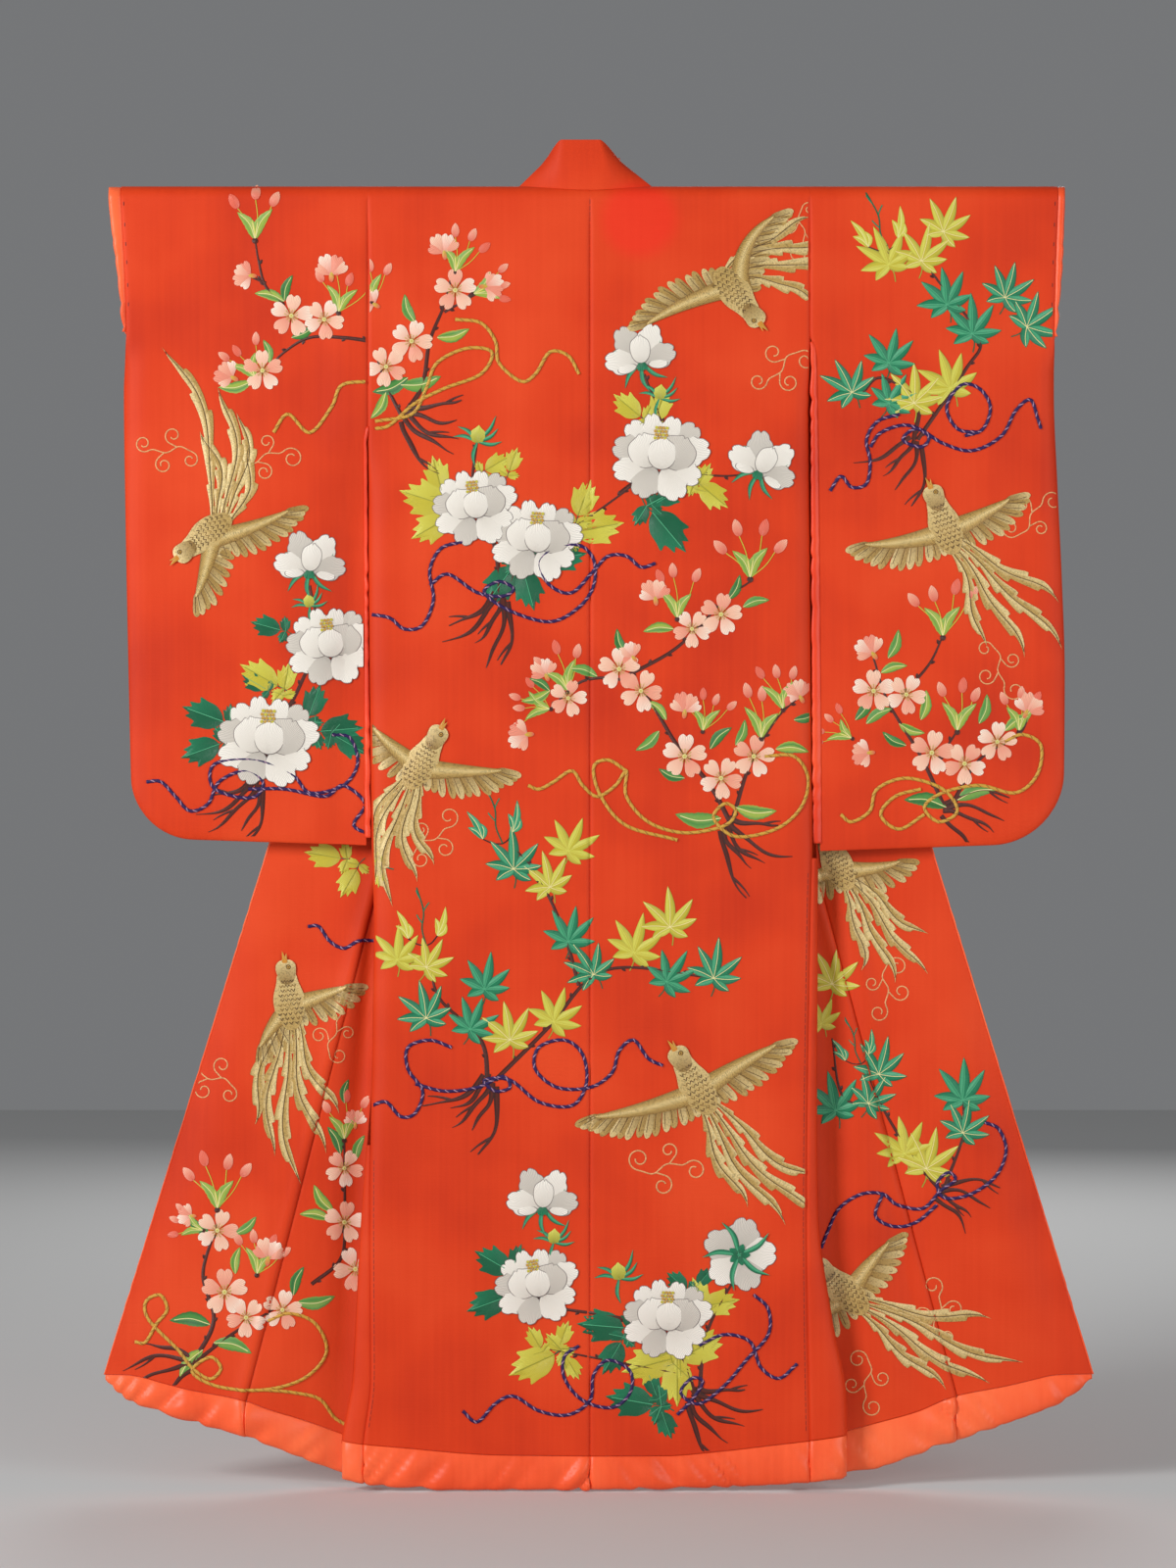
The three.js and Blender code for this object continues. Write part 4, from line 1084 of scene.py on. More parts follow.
PEONY_CUPS = (
    (-20, -8, -16, 0.92, 1.0, "white", CUP_PETAL), (24, 12, -16, 0.95, 1.02, "grey", CUP_PETAL),
)
SIDE_PEONY = (
    (-24, -4, 0, 0.78, 1.05, "grey", BROAD_PETAL), (22, 5, 0, 0.76, 1.02, "white", BROAD_PETAL),
    (-80, -2, -4, 0.78, 1.0, "white", BROAD_PETAL), (76, 3, -4, 0.76, 0.96, "grey", BROAD_PETAL),
)


def petals(pen, rows, lift=0.35, rise=0.8):
    """Ruffled white petals, each with a fine dark edge, laid from back to front."""
    for k, (heading, x, z, wide, long, tone, shape) in enumerate(rows):
        outline = turned_by(closed_loop(shape, 2.6) * (wide, long), heading, (x, z))
        dim = "silver" if tone == "grey" else "pearl"
        pen.patch(outline, dim, tone, rim="petal_line", root=(x, z),
                  lift=lift + 0.12 * k, rise=rise)


def peony(pen, kind=0):
    """A white peony: 0 is full and open, 1 is seen from the side, and 2 from behind."""
    if kind == 2:
        rows = [(heading, 0, 0, 0.86, 0.92, "white" if k % 2 else "grey", BROAD_PETAL)
                for k, heading in enumerate((0, 76, 148, -148, -74))]
        petals(pen, rows)
        for heading in (42, 112, 176, -106, -40):
            sepal(pen, 44, 6, heading, 5, lift=1.7)
        for heading in (10, 80, 150, 220, 290):
            pen.patch(turned_by(closed_loop(SCALE, 2.5) * 1.7, heading), "teal_dark", "teal",
                      lift=1.9, rise=0.5)
        return
    if kind == 1:
        for heading in (-60, 48, -140, 128, 172):
            sepal(pen, 42, 5.5, heading, 5, at=(0, -4))
        petals(pen, SIDE_PEONY)
        for heading, x in ((-98, -6), (94, 8)):
            lip = turned_by(closed_loop(CURLED_LIP, 2.6) * (0.8, 1.0), heading, (x, -8))
            pen.patch(lip, "pearl", "white", rim="petal_line", lift=1.0, rise=0.9)
        petals(pen, [(2, 0, -6, 0.62, 0.98, "white", CUP_PETAL)], lift=1.3, rise=1.2)
        for heading in (-30, 0, 28):
            pen.patch(turned_by(closed_loop(SCALE, 2.5) * (1.6, 1.5), 180 + heading, (0, -5)), "teal_dark",
                      "teal", lift=1.5, rise=0.5)
        return
    petals(pen, FULL_PEONY)
    stamens = [(x + 1.2 * (row % 2), 18 + 4.0 * row) for row in range(4) for x in (-6, -2, 2, 6)]
    petals(pen, PEONY_CUPS, lift=1.7, rise=1.1)
    for k, spot in enumerate(stamens):
        tone = "ochre" if k % 3 else "straw"
        pen.patch(ring_points(2.0, 7, spot), tone, tone, lift=2.5, rise=0.5, rings=(1.0, 0.5))
    petals(pen, [(4, 2, -18, 0.74, 0.92, "white", CUP_PETAL)], lift=2.6, rise=1.3)


def peony_bud(pen):
    """A pointed yellow bud among long narrow sepals."""
    for heading in (-84, -58, 52, 84, 30, 180):
        sepal(pen, 34 if heading != 30 else 44, 5, heading, 4, at=(0, 2))
    pen.patch(closed_loop(POINTED_BUD), "olive", "lemon", lift=0.6, rise=1.4)


def broad_leaf(pen, size=1.0, heading=0.0, at=(0.0, 0.0), tones=("teal", "teal_dark", "teal_light")):
    """A broad notched leaf in two tones, with a fine vein."""
    light, dark, vein = tones
    for hand, tone in ((1, light), (-1, dark)):
        side = spline(NOTCHED_LEAF, 2.4) * (hand * size, size)
        outline = turned_by(np.concatenate([side, [[0.0, 40.0 * size], [0.0, 20.0 * size]]]), heading, at)
        pen.patch(outline, dark, tone, root=at, lift=0.4, rise=0.6)
    pen.ribbon(turned_by([(0, 0), (0, 24 * size), (0, 52 * size)], heading, at), 1.0, vein, lift=1.05,
               rise=0.1)


def leaf_sprig(pen, tint=0, tones=("teal", "teal_dark", "teal_light")):
    """One large notched leaf with two small ones on a thin stalk."""
    pen.ribbon(spline([(0, -6), (1, -18), (-3, -32)], 3), 1.5, "teal_dark", rise=0.3)
    broad_leaf(pen, 0.92 + 0.14 * vary(tint), 0, (0, -6), tones)
    for heading, size in ((-78, 0.42), (72, 0.48)):
        broad_leaf(pen, size, heading, (0, -16), tones)


# Light, middle and dark tones of the maple leaves; the yellow ones serve the notched leaves too.
GREEN = ("teal_light", "teal", "teal_dark")
YELLOW = ("lemon", "straw", "olive")


def maple_leaf(pen, tint=0, colours=GREEN):
    """A maple leaf of seven narrow lobes, each in two tones with a pale vein."""
    light, middle, dark = colours
    reach = (27, 38, 48, 52, 47, 37, 26)
    for k in range(7):
        angle = (k - 3) * 40 + 9 * (vary(k + tint) - 0.5)
        length = reach[k] * (0.94 + 0.12 * vary(k * 5.1 + tint))
        path = turned_by(spline([(0, 0), (1.5, length * 0.5), (0, length)], 2.2), angle)
        share = np.linspace(0, 1, len(path))
        widths = 13.5 * np.sin(math.pi * clamp01(0.2 + 0.8 * share)) ** 0.9 + 0.2
        shades = (dark, middle, middle, light, middle)
        pen.ribbon(path, widths, shades, across=5, slant=-1.0, lift=0.35 + 0.05 * (k % 2))
        pen.ribbon(path[:-1], 0.8, light if tint % 2 else "cream", lift=0.9, rise=0.1)
    pen.ribbon(spline([(0, 0), (3, -12), (1, -24)], 3), 1.5, dark, rise=0.2)


def maple_twig(pen, tint=0):
    """A thin forked twig with two leaves still folded."""
    light, middle, dark = GREEN
    stem = spline([(0, 0), (-6, 24), (-4, 50), (-14, 84)], 4)
    pen.ribbon(stem, 2.0, dark, rise=0.3)
    for k, heading in ((8, -38), (12, 30), (16, -30)):
        if k < len(stem):
            pen.ribbon(spline(sweep(stem[k], heading, 12, 15, 4), 3), 1.8, middle, rise=0.3)
    for start, lean in (((-26, 10), -24), ((16, 14), 14)):
        pen.ribbon(spline([(0, 0), np.array(start) * 0.5 + (0, -3), start], 4), 1.8, "bark", rise=0.3)
        for off, length in ((-20, 26), (2, 44), (24, 22)):
            tones = ("lemon", "straw") if tint % 2 else (light, middle)
            narrow_leaf(pen, length, 10, 3, *tones, 2, turn=lean + off, at=start)


def cut_ends(pen, count=5, tint=0):
    """Cut branch ends that curve away below a tie, dark, wavy and forked."""
    tones = ["cut_wood", "bark_light", "bark"]
    hand = 1 if vary(tint) > 0.5 else -1
    for k in range(count):
        share = k / (count - 1) - 0.5
        length = 66 + 46 * vary(k * 2.3 + tint)
        bend = hand * (30 + 26 * vary(k + tint))
        heading = 56 * share + 12 * (vary(k * 1.3 + tint) - 0.5) - 0.5 * bend
        end = sweep((22 * share, -5), heading, bend, length)
        end[:, 0] += 2.4 * np.sin(np.linspace(0, 8, len(end)) + 2 * k)
        end = spline(end, 4)
        run = np.linspace(0, 1, len(end))
        widths = 7.4 - 5.8 * run ** 1.6 + 0.8 * np.sin(9 * run + k)
        pen.ribbon(end, widths, tones, rise=0.7, lift=0.4 + 0.1 * (k % 2))
        index = int(len(end) * (0.5 + 0.2 * vary(k + 5)))
        way = math.degrees(math.atan2(*(end[index + 1] - end[index])))
        fork = spline(sweep(end[index], way + 30 * hand, -22 * hand, length * 0.34, 5), 4)
        if k % 2 == 0:
            pen.ribbon(fork, 4.6 - 3.4 * np.linspace(0, 1, len(fork)), tones, rise=0.5, lift=0.45)


def branch(pen, points, width):
    """A tapering branch with small scale buds."""
    path = spline(points, 4)
    share = np.linspace(0, 1, len(path))
    pen.ribbon(path, width * (1 - 0.55 * share), ["bark", "bark_light", "bark"],
               rise=0.6, slant=0.6)
    for k in range(2, len(path) - 2, 7):
        way = math.degrees(math.atan2(*(path[k + 1] - path[k])))
        side = 48 * (-1) ** (k // 7)
        pen.patch(turned_by(closed_loop(SCALE, 2.5) * 0.9, way + side, path[k]), "bark",
                  "bark_light", root=path[k], rise=0.4, rings=(1.0, 0.5))


def cord(pen, points, kind="purple"):
    """A twisted cord with light flecks, laid in loops."""
    path = spline(points, 1.7)
    count, across = len(path), 5
    dyes = {"purple": ("purple", "fleck", "purple"), "yellow": ("amber", "amber_dark", "ochre")}
    body, fleck, edge = dyes[kind]
    turn = (np.arange(count)[:, None] + np.arange(across)) % 7
    colours = np.where((turn == 0)[..., None], shade_of(fleck), shade_of(body))
    colours[:, (0, -1)] = shade_of(edge)
    widths = 4.5 + 0.5 * np.sin(np.arange(count) * 1.6)
    pen.ribbon(path, widths, colours, rise=1.5, across=across, finish=CORD, slant=1.0)


def curl(pen, radius=12.0, turns=1.25, hand=1, start=(0.0, 0.0), heading=0.0, width=1.7):
    """A fine spiral that leaves its start along the heading and winds in; hand 1 winds clockwise."""
    share = np.linspace(0, 1, 36)
    angle = 2 * math.pi * turns * share
    reach = radius * (1 - 0.68 * share)
    spiral = np.stack([hand * (radius - reach * np.cos(angle)), reach * np.sin(angle)], 1)
    pen.ribbon(turned_by(spiral, heading, start), width, "curl", finish=GOLD, rise=0.6, along=0.8)


# Spirals along a scroll's stem: place along the stem, radius, hand, heading off the stem, and stalk length.
SCROLL_CURLS = ((0.0, 11.5, 1, 180, 6), (0.36, 11, 1, 55, 12), (0.64, 11, -1, -55, 12), (1.0, 12.5, 1, 5, 4))


def scroll(pen, tint=0):
    """Open spirals on stalks that leave a waving stem on alternate sides."""
    stem = spline([(0, 0), (7, 14), (0, 32), (6, 50), (4, 58)], 3)
    pen.ribbon(stem, 1.7, "curl", finish=GOLD, rise=0.6, along=0.8)
    for k, (share, radius, hand, off, stalk) in enumerate(SCROLL_CURLS):
        index = min(len(stem) - 2, int(share * (len(stem) - 1)))
        way = stem[index + 1] - stem[index]
        heading = math.degrees(math.atan2(way[0], way[1])) + off
        start = stem[index] + turned_by([(0, stalk)], heading)[0]
        pen.ribbon([stem[index], start], 1.7, "curl", finish=GOLD, rise=0.6, along=0.8)
        turns = 1.05 + 0.2 * vary(k * 3 + tint)
        curl(pen, radius * (0.9 + 0.3 * vary(k + tint)), turns, hand, start, heading)


def sweep(start, heading, bend, length, count=9):
    """Points of a line that starts on the heading and turns by bend degrees over its length."""
    share = np.linspace(0, 1, count)
    angle = np.radians(heading + bend * share)
    step = length / (count - 1)
    way = np.stack([np.sin(angle), np.cos(angle)], 1)[:-1] * step
    return np.concatenate([[start], np.asarray(start, float) + np.cumsum(way, axis=0)])


def plume(pen, points, width=20.0, barbs=4, tint=0):
    """A long waving tail feather with torn barbs and a fine dark midrib."""
    path = spline(points, 2.4)
    share = np.linspace(0, 1, len(path))
    step = np.gradient(path, axis=0)
    step /= np.linalg.norm(step, axis=1, keepdims=True)
    side = np.stack([-step[:, 1], step[:, 0]], 1)
    path = path + side * (11 * share * np.sin(2 * math.pi * (1.15 * share + 0.3 * vary(tint))))[:, None]
    body = width * (0.3 + 0.7 * np.sin(math.pi * share ** 1.25)) * clamp01((1 - share) * 5 + 0.03)
    for hand, phase in ((1, 0.15), (-1, 0.6)):
        torn = 0.55 + 0.6 * ((share * barbs + phase + 0.2 * vary(tint)) % 1.0) ** 1.3
        half = body * torn / 2
        middle = path + hand * side * half[:, None] / 2
        tone = "gold_light" if (tint + (hand > 0)) % 2 else "gold"
        shades = ["gold", tone, "gold_light"]
        pen.ribbon(middle, half, shades, finish=GOLD, rise=0.5, lift=0.4, along=0.35, slant=0.9)
    pen.ribbon(path[2:-3], 0.9, "gold_line", finish=GOLD, lift=1.0, rise=0.1)


def wing(pen, root, heading, bend, length, hand, tint=0):
    """A spread wing: a covert band along its front edge, and a fringe of flight feathers on one side."""
    front = spline(sweep(root, heading, bend, length), 3)
    share = np.linspace(0, 1, len(front))
    feathers = max(8, int(length / 8))
    for k in range(feathers):
        at = (k + 0.4) / feathers
        index = min(len(front) - 2, int(at * (len(front) - 1)))
        way = front[index + 1] - front[index]
        along = math.degrees(math.atan2(way[0], way[1]))
        fall = 92 - 84 * at ** 1.2
        size = 1.0 + 0.42 * math.sin(math.pi * at) + 0.1 * (vary(k + tint) - 0.5)
        outline = turned_by(closed_loop(FEATHER, 2.8) * (1.25, size), along + hand * fall, front[index])
        pen.patch(outline, "gold_dark", "gold_light" if k % 2 else "gold", root=front[index],
                  finish=GOLD, radial=False, lift=0.4 + 0.12 * (k % 2), rise=0.5)
        spine = turned_by([(1.9, 8), (2.4, 18), (1.5, 29 * size)], along + hand * fall, front[index])
        pen.ribbon(spine, 0.7, "gold_line", finish=GOLD, lift=1.0, rise=0.1)
    band = 27 * (1 - share) ** 0.7 + 2.5
    inset = np.gradient(front, axis=0)
    inset = np.stack([inset[:, 1], -inset[:, 0]], 1) / np.linalg.norm(inset, axis=1, keepdims=True)
    covert = front + hand * inset * (band * 0.3)[:, None]
    shades = ("gold_dark", "gold", "gold_light", "gold", "gold_dark")
    pen.ribbon(covert, band, shades, finish=GOLD, lift=1.0, rise=0.7, across=5, slant=0.4, along=0.5)


def bird(pen, aim, wings, tail, tint=0):
    """A long-tailed bird in couched gold, looking along aim; wings and tail have their own lines."""
    start, bend, lengths = tail
    rear = turned_by([(0, -24)], aim)[0]
    for k, reach in enumerate(lengths):
        spread = k - (len(lengths) - 1) / 2
        root = rear * 0.6 + turned_by([(5.5 * spread, 0)], start)[0]
        plume(pen, sweep(root, start + 8 * spread, bend * (0.8 + 0.2 * k) + 6 * spread, reach), 21, 4 + k % 2,
              tint + k)
    for k, (heading, turn, reach, hand) in enumerate(wings):
        wing(pen, turned_by([(0, 8)], aim)[0], heading, turn, reach, hand, tint + 3 * k)
    body = turned_by(closed_loop(BIRD_BODY, 3), aim)
    pen.patch(body, "gold", "gold_light", root=rear, finish=GOLD, lift=1.3, rise=1.4, radial=False)
    for row in range(10):
        for k in range(-2, 3):
            x, z = k * (8.2 - 0.45 * row) + 2.6 * (row % 2), -24 + row * 6.6
            if abs(x) < 16 - 0.8 * row + 5 * (0 < row < 7):
                fleck = turned_by(np.array([(x - 2.4, z + 1.6), (x, z - 1.8), (x + 2.4, z + 1.6)]), aim)
                tone = "gold_line" if vary(row * 5 + k + tint) > 0.35 else "gold_dark"
                pen.ribbon(fleck, 1.1, tone, finish=GOLD, lift=2.75, rise=0.1)
    head = turned_by([(0, 50)], aim)[0]
    throat = turned_by(closed_loop(BIRD_THROAT, 3), aim, head)
    pen.patch(throat, "gold_dark", "gold_light", root=turned_by([(0, -22)], aim, head)[0],
              finish=GOLD, lift=2.0, rise=1.3, radial=False)
    for side, size in ((-9, 0.9), (13, 0.72)):
        beak = turned_by(closed_loop(BEAK, 3) * size, aim + side, head)
        pen.patch(beak + turned_by([(0, 11)], aim)[0], "beak", "ochre", root=head, lift=2.6,
                  rise=0.6)
    eye = turned_by([(4, 5)], aim, head)[0]
    for size, tone in ((3.6, "gold_line"), (2.3, "ochre"), (1.2, "gold_line")):
        pen.patch(ring_points(size, 10, eye), tone, tone, root=eye, lift=4.2 - 0.3 * size,
                  rise=0.3, rings=(1.0, 0.5))
    crest = turned_by([(9, 4)], aim, head)[0]
    curl(pen, 11.0, 0.85, 1, crest, aim + 125, 2.6)


# Each row: the panel, and for each motif x and z in mm, the size, the turn in degrees, and where
# needed the kind.

CHERRY_FLOWERS = (
    ("sleeve_left", (-410, -180, 0.95, 8), (-365, -185, 0.9, 30), (-450, -255, 0.92, 0)),
    ("back", (-185, -145, 0.95, 0), (-245, -215, 0.95, 20), (-280, -250, 0.9, 45), (180, -590, 0.95, 10),
        (140, -610, 0.85, 36), (40, -665, 0.95, 0), (70, -695, 0.95, 25), (-30, -705, 0.85, 15),
        (130, -785, 1, 5), (180, -815, 0.95, 30), (225, -785, 0.95, 12)),
    ("sleeve_right", (390, -695, 0.95, 0), (435, -700, 0.9, 28), (470, -780, 1, 12), (515, -795, 0.95, 36),
        (560, -765, 0.9, 5)),
    ("turned_left", (-515, -1440, 0.95, 20), (-505, -1525, 1.05, 0), (-475, -1560, 0.9, 40),
        (-425, -1550, 0.9, 12), (-340, -1355, 0.85, 30), (-340, -1430, 0.95, 10), (-325, -1495, 1, 48)),
)
CHERRY_SIDES = (
    ("sleeve_left", (-355, -125, 1, 0), (-490, -265, 0.9, -62), (-465, -125, 0.85, -85)),
    ("back", (-200, -95, 0.95, -8), (-145, -140, 0.9, 88), (-295, -165, 0.85, -60), (90, -570, 0.95, -8),
        (-60, -675, 0.85, -25), (-85, -755, 0.95, -95), (130, -725, 0.95, 8), (290, -705, 0.9, -30),
        (60, -650, 0.8, -40)),
    ("sleeve_right", (390, -645, 0.95, -35), (385, -780, 0.85, -95), (600, -725, 0.95, 25)),
    ("turned_left", (-445, -1480, 1, 8), (-550, -1420, 0.7, -85), (-325, -1295, 0.7, 0)),
)
CHERRY_TIPS = (
    ("sleeve_left", (-460, -75, 1, 0), (-345, -175, 0.85, 10), (-460, -265, 0.8, -30)),
    ("back", (-185, -120, 0.85, 8), (-160, -150, 0.75, 70), (-300, -160, 0.8, -10), (120, -595, 0.9, 0),
        (220, -540, 1.05, 0), (-30, -695, 0.9, -18), (-55, -720, 0.75, -80), (235, -760, 0.95, 5),
        (155, -750, 0.75, 10), (265, -720, 0.85, -10)),
    ("sleeve_right", (485, -620, 1, 0), (505, -750, 0.95, 5), (360, -760, 0.7, -60), (590, -750, 0.85, 5)),
    ("turned_left", (-515, -1410, 1, 0), (-535, -1440, 0.7, -70), (-460, -1500, 0.85, 10),
        (-340, -1315, 0.85, 0)),
)
CHERRY_LEAVES = (
    ("sleeve_left", (-420, -160, 1, -75), (-420, -160, 0.9, 18), (-440, -245, 0.8, -15),
        (-465, -270, 1.1, -100), (-410, -210, 0.9, 60)),
    ("back", (-240, -190, 1, -20), (-210, -210, 1.1, 75), (-250, -265, 1.25, -112), (-260, -275, 1.35, 78),
        (-280, -285, 1, -150), (190, -570, 0.9, 25), (210, -580, 0.9, 75), (115, -610, 1, -95),
        (50, -645, 0.9, -20), (10, -675, 1, -75), (-55, -695, 1, -110), (-55, -695, 0.8, -60),
        (95, -750, 1, -130), (105, -735, 0.9, -45), (165, -775, 1, 45), (200, -770, 0.9, 20),
        (255, -775, 1.1, 95), (280, -735, 0.9, 70), (180, -870, 1.5, -85), (200, -855, 1.35, 95),
        (130, -815, 0.9, -70)),
    ("sleeve_right", (410, -650, 1, 20), (400, -670, 0.9, 75), (365, -735, 1, 30), (380, -740, 1, 60),
        (455, -735, 1, 10), (435, -770, 0.9, -60), (535, -740, 1, 15), (570, -750, 1, 60),
        (490, -855, 1.4, -80), (505, -845, 1.35, 75), (425, -740, 0.9, 110)),
    ("turned_left", (-525, -1445, 1, -50), (-490, -1445, 0.9, 50), (-490, -1500, 0.9, 10),
        (-525, -1570, 1.35, -85), (-520, -1595, 1.3, 105), (-535, -1605, 1.2, -140), (-410, -1530, 1, 20),
        (-405, -1540, 1.25, 82), (-355, -1415, 1.1, -35), (-345, -1335, 1, -25), (-325, -1345, 0.9, 20),
        (-360, -1425, 1, -80), (-340, -1265, 0.8, 10)),
)
PEONIES = (
    ("sleeve_left", (-385, -525, 1, 6, 1), (-360, -630, 1.08, -6, 0), (-445, -760, 1.25, 3, 0)),
    ("back", (-160, -440, 1.05, -6, 0), (-75, -485, 1.12, 4, 0), (70, -240, 1, -8, 1),
        (95, -370, 1.2, 4, 0), (235, -390, 1, 28, 1), (-65, -1400, 1, 2, 1), (-75, -1510, 1.05, -10, 0),
        (105, -1555, 1.1, 2, 0), (205, -1470, 1.15, 12, 2)),
)
PEONY_BUDS = (
    ("sleeve_left", (-385, -580, 0.75, -10)),
    ("back", (-155, -355, 1, 6), (95, -295, 0.85, 8), (-50, -1455, 0.85, 4), (40, -1505, 1, -4)),
)
GREEN_LEAVES = (
    ("sleeve_left", (-430, -610, 0.75, -75), (-510, -735, 1, -70), (-515, -770, 0.95, -110),
        (-385, -725, 0.85, 20), (-365, -750, 0.95, 85), (-345, -760, 0.8, 120)),
    ("back", (-110, -530, 1, 215), (-90, -535, 1.05, 165), (-55, -515, 1, 80), (95, -435, 0.7, 60),
        (90, -455, 1.15, 140), (-115, -1490, 1, -60), (-120, -1530, 0.95, -110), (-105, -1485, 0.6, 20),
        (40, -1570, 1.1, -85), (40, -1595, 0.85, -150), (90, -1660, 0.6, -20), (80, -1675, 1.15, -80),
        (100, -1690, 0.7, 160), (130, -1515, 0.6, -50), (150, -1510, 0.55, 40)),
    ("sleeve_left", (-450, -690, 0.6, -60)),
)
YELLOW_LEAVES = (
    ("turned_left", (-350, -925, 0.9, -80), (-325, -945, 0.75, -150)),
    ("sleeve_left", (-435, -685, 1, -60), (-420, -690, 0.7, 10)),
    ("back", (-200, -440, 1.15, -72), (-205, -415, 0.8, -15), (-200, -460, 0.95, -120),
        (-140, -390, 0.7, 60), (-110, -390, 0.6, 20), (-15, -475, 1.15, 80), (-15, -450, 0.85, 20),
        (65, -315, 0.85, -50), (90, -320, 0.75, 20), (150, -410, 0.6, 30), (155, -415, 0.85, 130),
        (-55, -1610, 1.15, -115), (-70, -1595, 0.6, -30), (-40, -1590, 0.6, 20), (-30, -1615, 0.6, 150),
        (105, -1615, 1.2, -105), (120, -1620, 1.15, 180), (130, -1610, 1.15, 60), (155, -1540, 0.75, -20),
        (160, -1540, 0.95, 80), (-305, -940, 1.1, -95)),
    ("sleeve_left", (-310, -950, 0.9, 180)),
)
MAPLE_LEAVES = (
    ("back", (-105, -940, 1.1, 0, 0), (-30, -915, 1, 20, 1), (-55, -965, 0.95, -15, 1),
        (-30, -1040, 1, 10, 0), (5, -1085, 0.95, -30, 0), (60, -1055, 1.05, 15, 1),
        (110, -1020, 1.05, -5, 1), (105, -1095, 0.95, 30, 0), (170, -1090, 1.05, 10, 0),
        (-265, -1065, 0.95, 0, 1), (-225, -1075, 0.9, 30, 1), (-145, -1105, 1, 10, 0),
        (-225, -1145, 1.05, -12, 0), (-165, -1160, 0.95, 25, 0), (-110, -1175, 1.05, -8, 1),
        (-50, -1150, 1, 20, 1)),
    ("sleeve_right", (485, -65, 1, 20, 1), (410, -110, 1.05, -20, 1), (455, -105, 1, 10, 1),
        (490, -165, 1.05, -10, 0), (570, -155, 1, 20, 0), (525, -205, 1.05, 0, 0), (600, -195, 1.05, 60, 0),
        (410, -245, 1, 10, 0), (360, -285, 1, -25, 0), (410, -300, 0.9, 30, 0), (445, -300, 1.1, 0, 1),
        (495, -280, 1.1, -20, 1)),
    ("turned_right", (335, -1100, 1, 10, 1), (320, -1155, 0.8, -20, 1), (400, -1225, 1, 10, 0),
        (340, -1275, 1.05, -10, 0), (385, -1265, 0.9, 30, 0), (515, -1260, 1.1, 0, 0),
        (515, -1305, 0.95, 15, 0), (435, -1335, 1.05, -10, 1), (465, -1355, 1.1, 15, 1)),
)
MAPLE_TWIGS = (
    ("sleeve_right", (410, -90, 1, -12, 1)),
    ("back", (-225, -1045, 0.95, 0, 1), (-120, -905, 1, -8, 0)),
    ("turned_right", (375, -1210, 0.8, -10, 0)),
)
# Each bird: the panel, x, z, size and aim, then for each wing its heading, bend, length and hand, and
# for the tail its heading, its bend and the length of each plume.
BIRDS = (
    ("sleeve_left", -520, -475, 0.95, 232, ((78, -10, 122, 1), (188, 6, 92, -1)),
        (18, -30, (270, 140, 205, 170, 130))),
    ("back", -235, -800, 0.98, 30, ((98, -6, 112, 1), (-56, 4, 84, -1)),
        (206, -26, (125, 150, 190, 175, 130))),
    ("back", 195, -142, 0.98, 142, ((256, -14, 132, 1), (-6, 74, 128, 1)),
        (52, 70, (150, 190, 185, 140))),
    ("back", 150, -1245, 1.05, -30, ((248, 12, 138, -1), (58, 10, 118, 1)),
        (148, -10, (180, 225, 195, 150))),
    ("sleeve_right", 490, -475, 1.0, -20, ((250, 16, 112, -1), (70, -6, 96, 1)),
        (132, 22, (170, 215, 190, 150))),
    ("turned_left", -415, -1130, 0.98, -6, ((226, -30, 78, -1), (74, 4, 84, 1)),
        (186, -14, (150, 200, 240, 200, 160))),
    ("turned_right", 358, -1530, 1.0, -46, ((226, 20, 62, -1), (32, 22, 92, 1)),
        (116, 4, (185, 245, 215, 170))),
    ("turned_right", 345, -940, 0.95, -26, ((244, 10, 60, -1), (96, -20, 92, 1)),
        (138, 24, (145, 185, 170, 135))),
)
SCROLLS = (
    ("sleeve_left", (-550, -365, 1, -95, 0), (-475, -380, 1, 70, 0)),
    ("back", (-240, -915, 1, 60, 1), (290, -35, 0.9, 170, 0), (285, -230, 1.05, -140, 0),
        (70, -1355, 1.15, 75, 0)),
    ("sleeve_right", (590, -480, 1, 30, 0), (555, -635, 1, 170, 1)),
    ("turned_left", (-495, -1240, 1, -75, 0), (-360, -1195, 0.9, 20, 1)),
    ("turned_right", (410, -1075, 1, 175, 0), (480, -1585, 1.05, 10, 1), (385, -1620, 1, 190, 1)),
)
CUT_ENDS = (
    ("back", (-250, -315, 1, 112, 5)),
    ("sleeve_left", (-460, -825, 0.9, 225, 5)),
    ("back", (-125, -570, 1, 215, 5), (190, -880, 0.95, 128, 5)),
    ("sleeve_right", (490, -860, 0.85, 110, 4), (445, -355, 0.85, 215, 4)),
    ("back", (-140, -1235, 1, 222, 5), (145, -1665, 1, 122, 5)),
    ("turned_left", (-555, -1625, 0.9, 250, 4)),
    ("turned_right", (485, -1390, 0.85, 118, 4)),
)

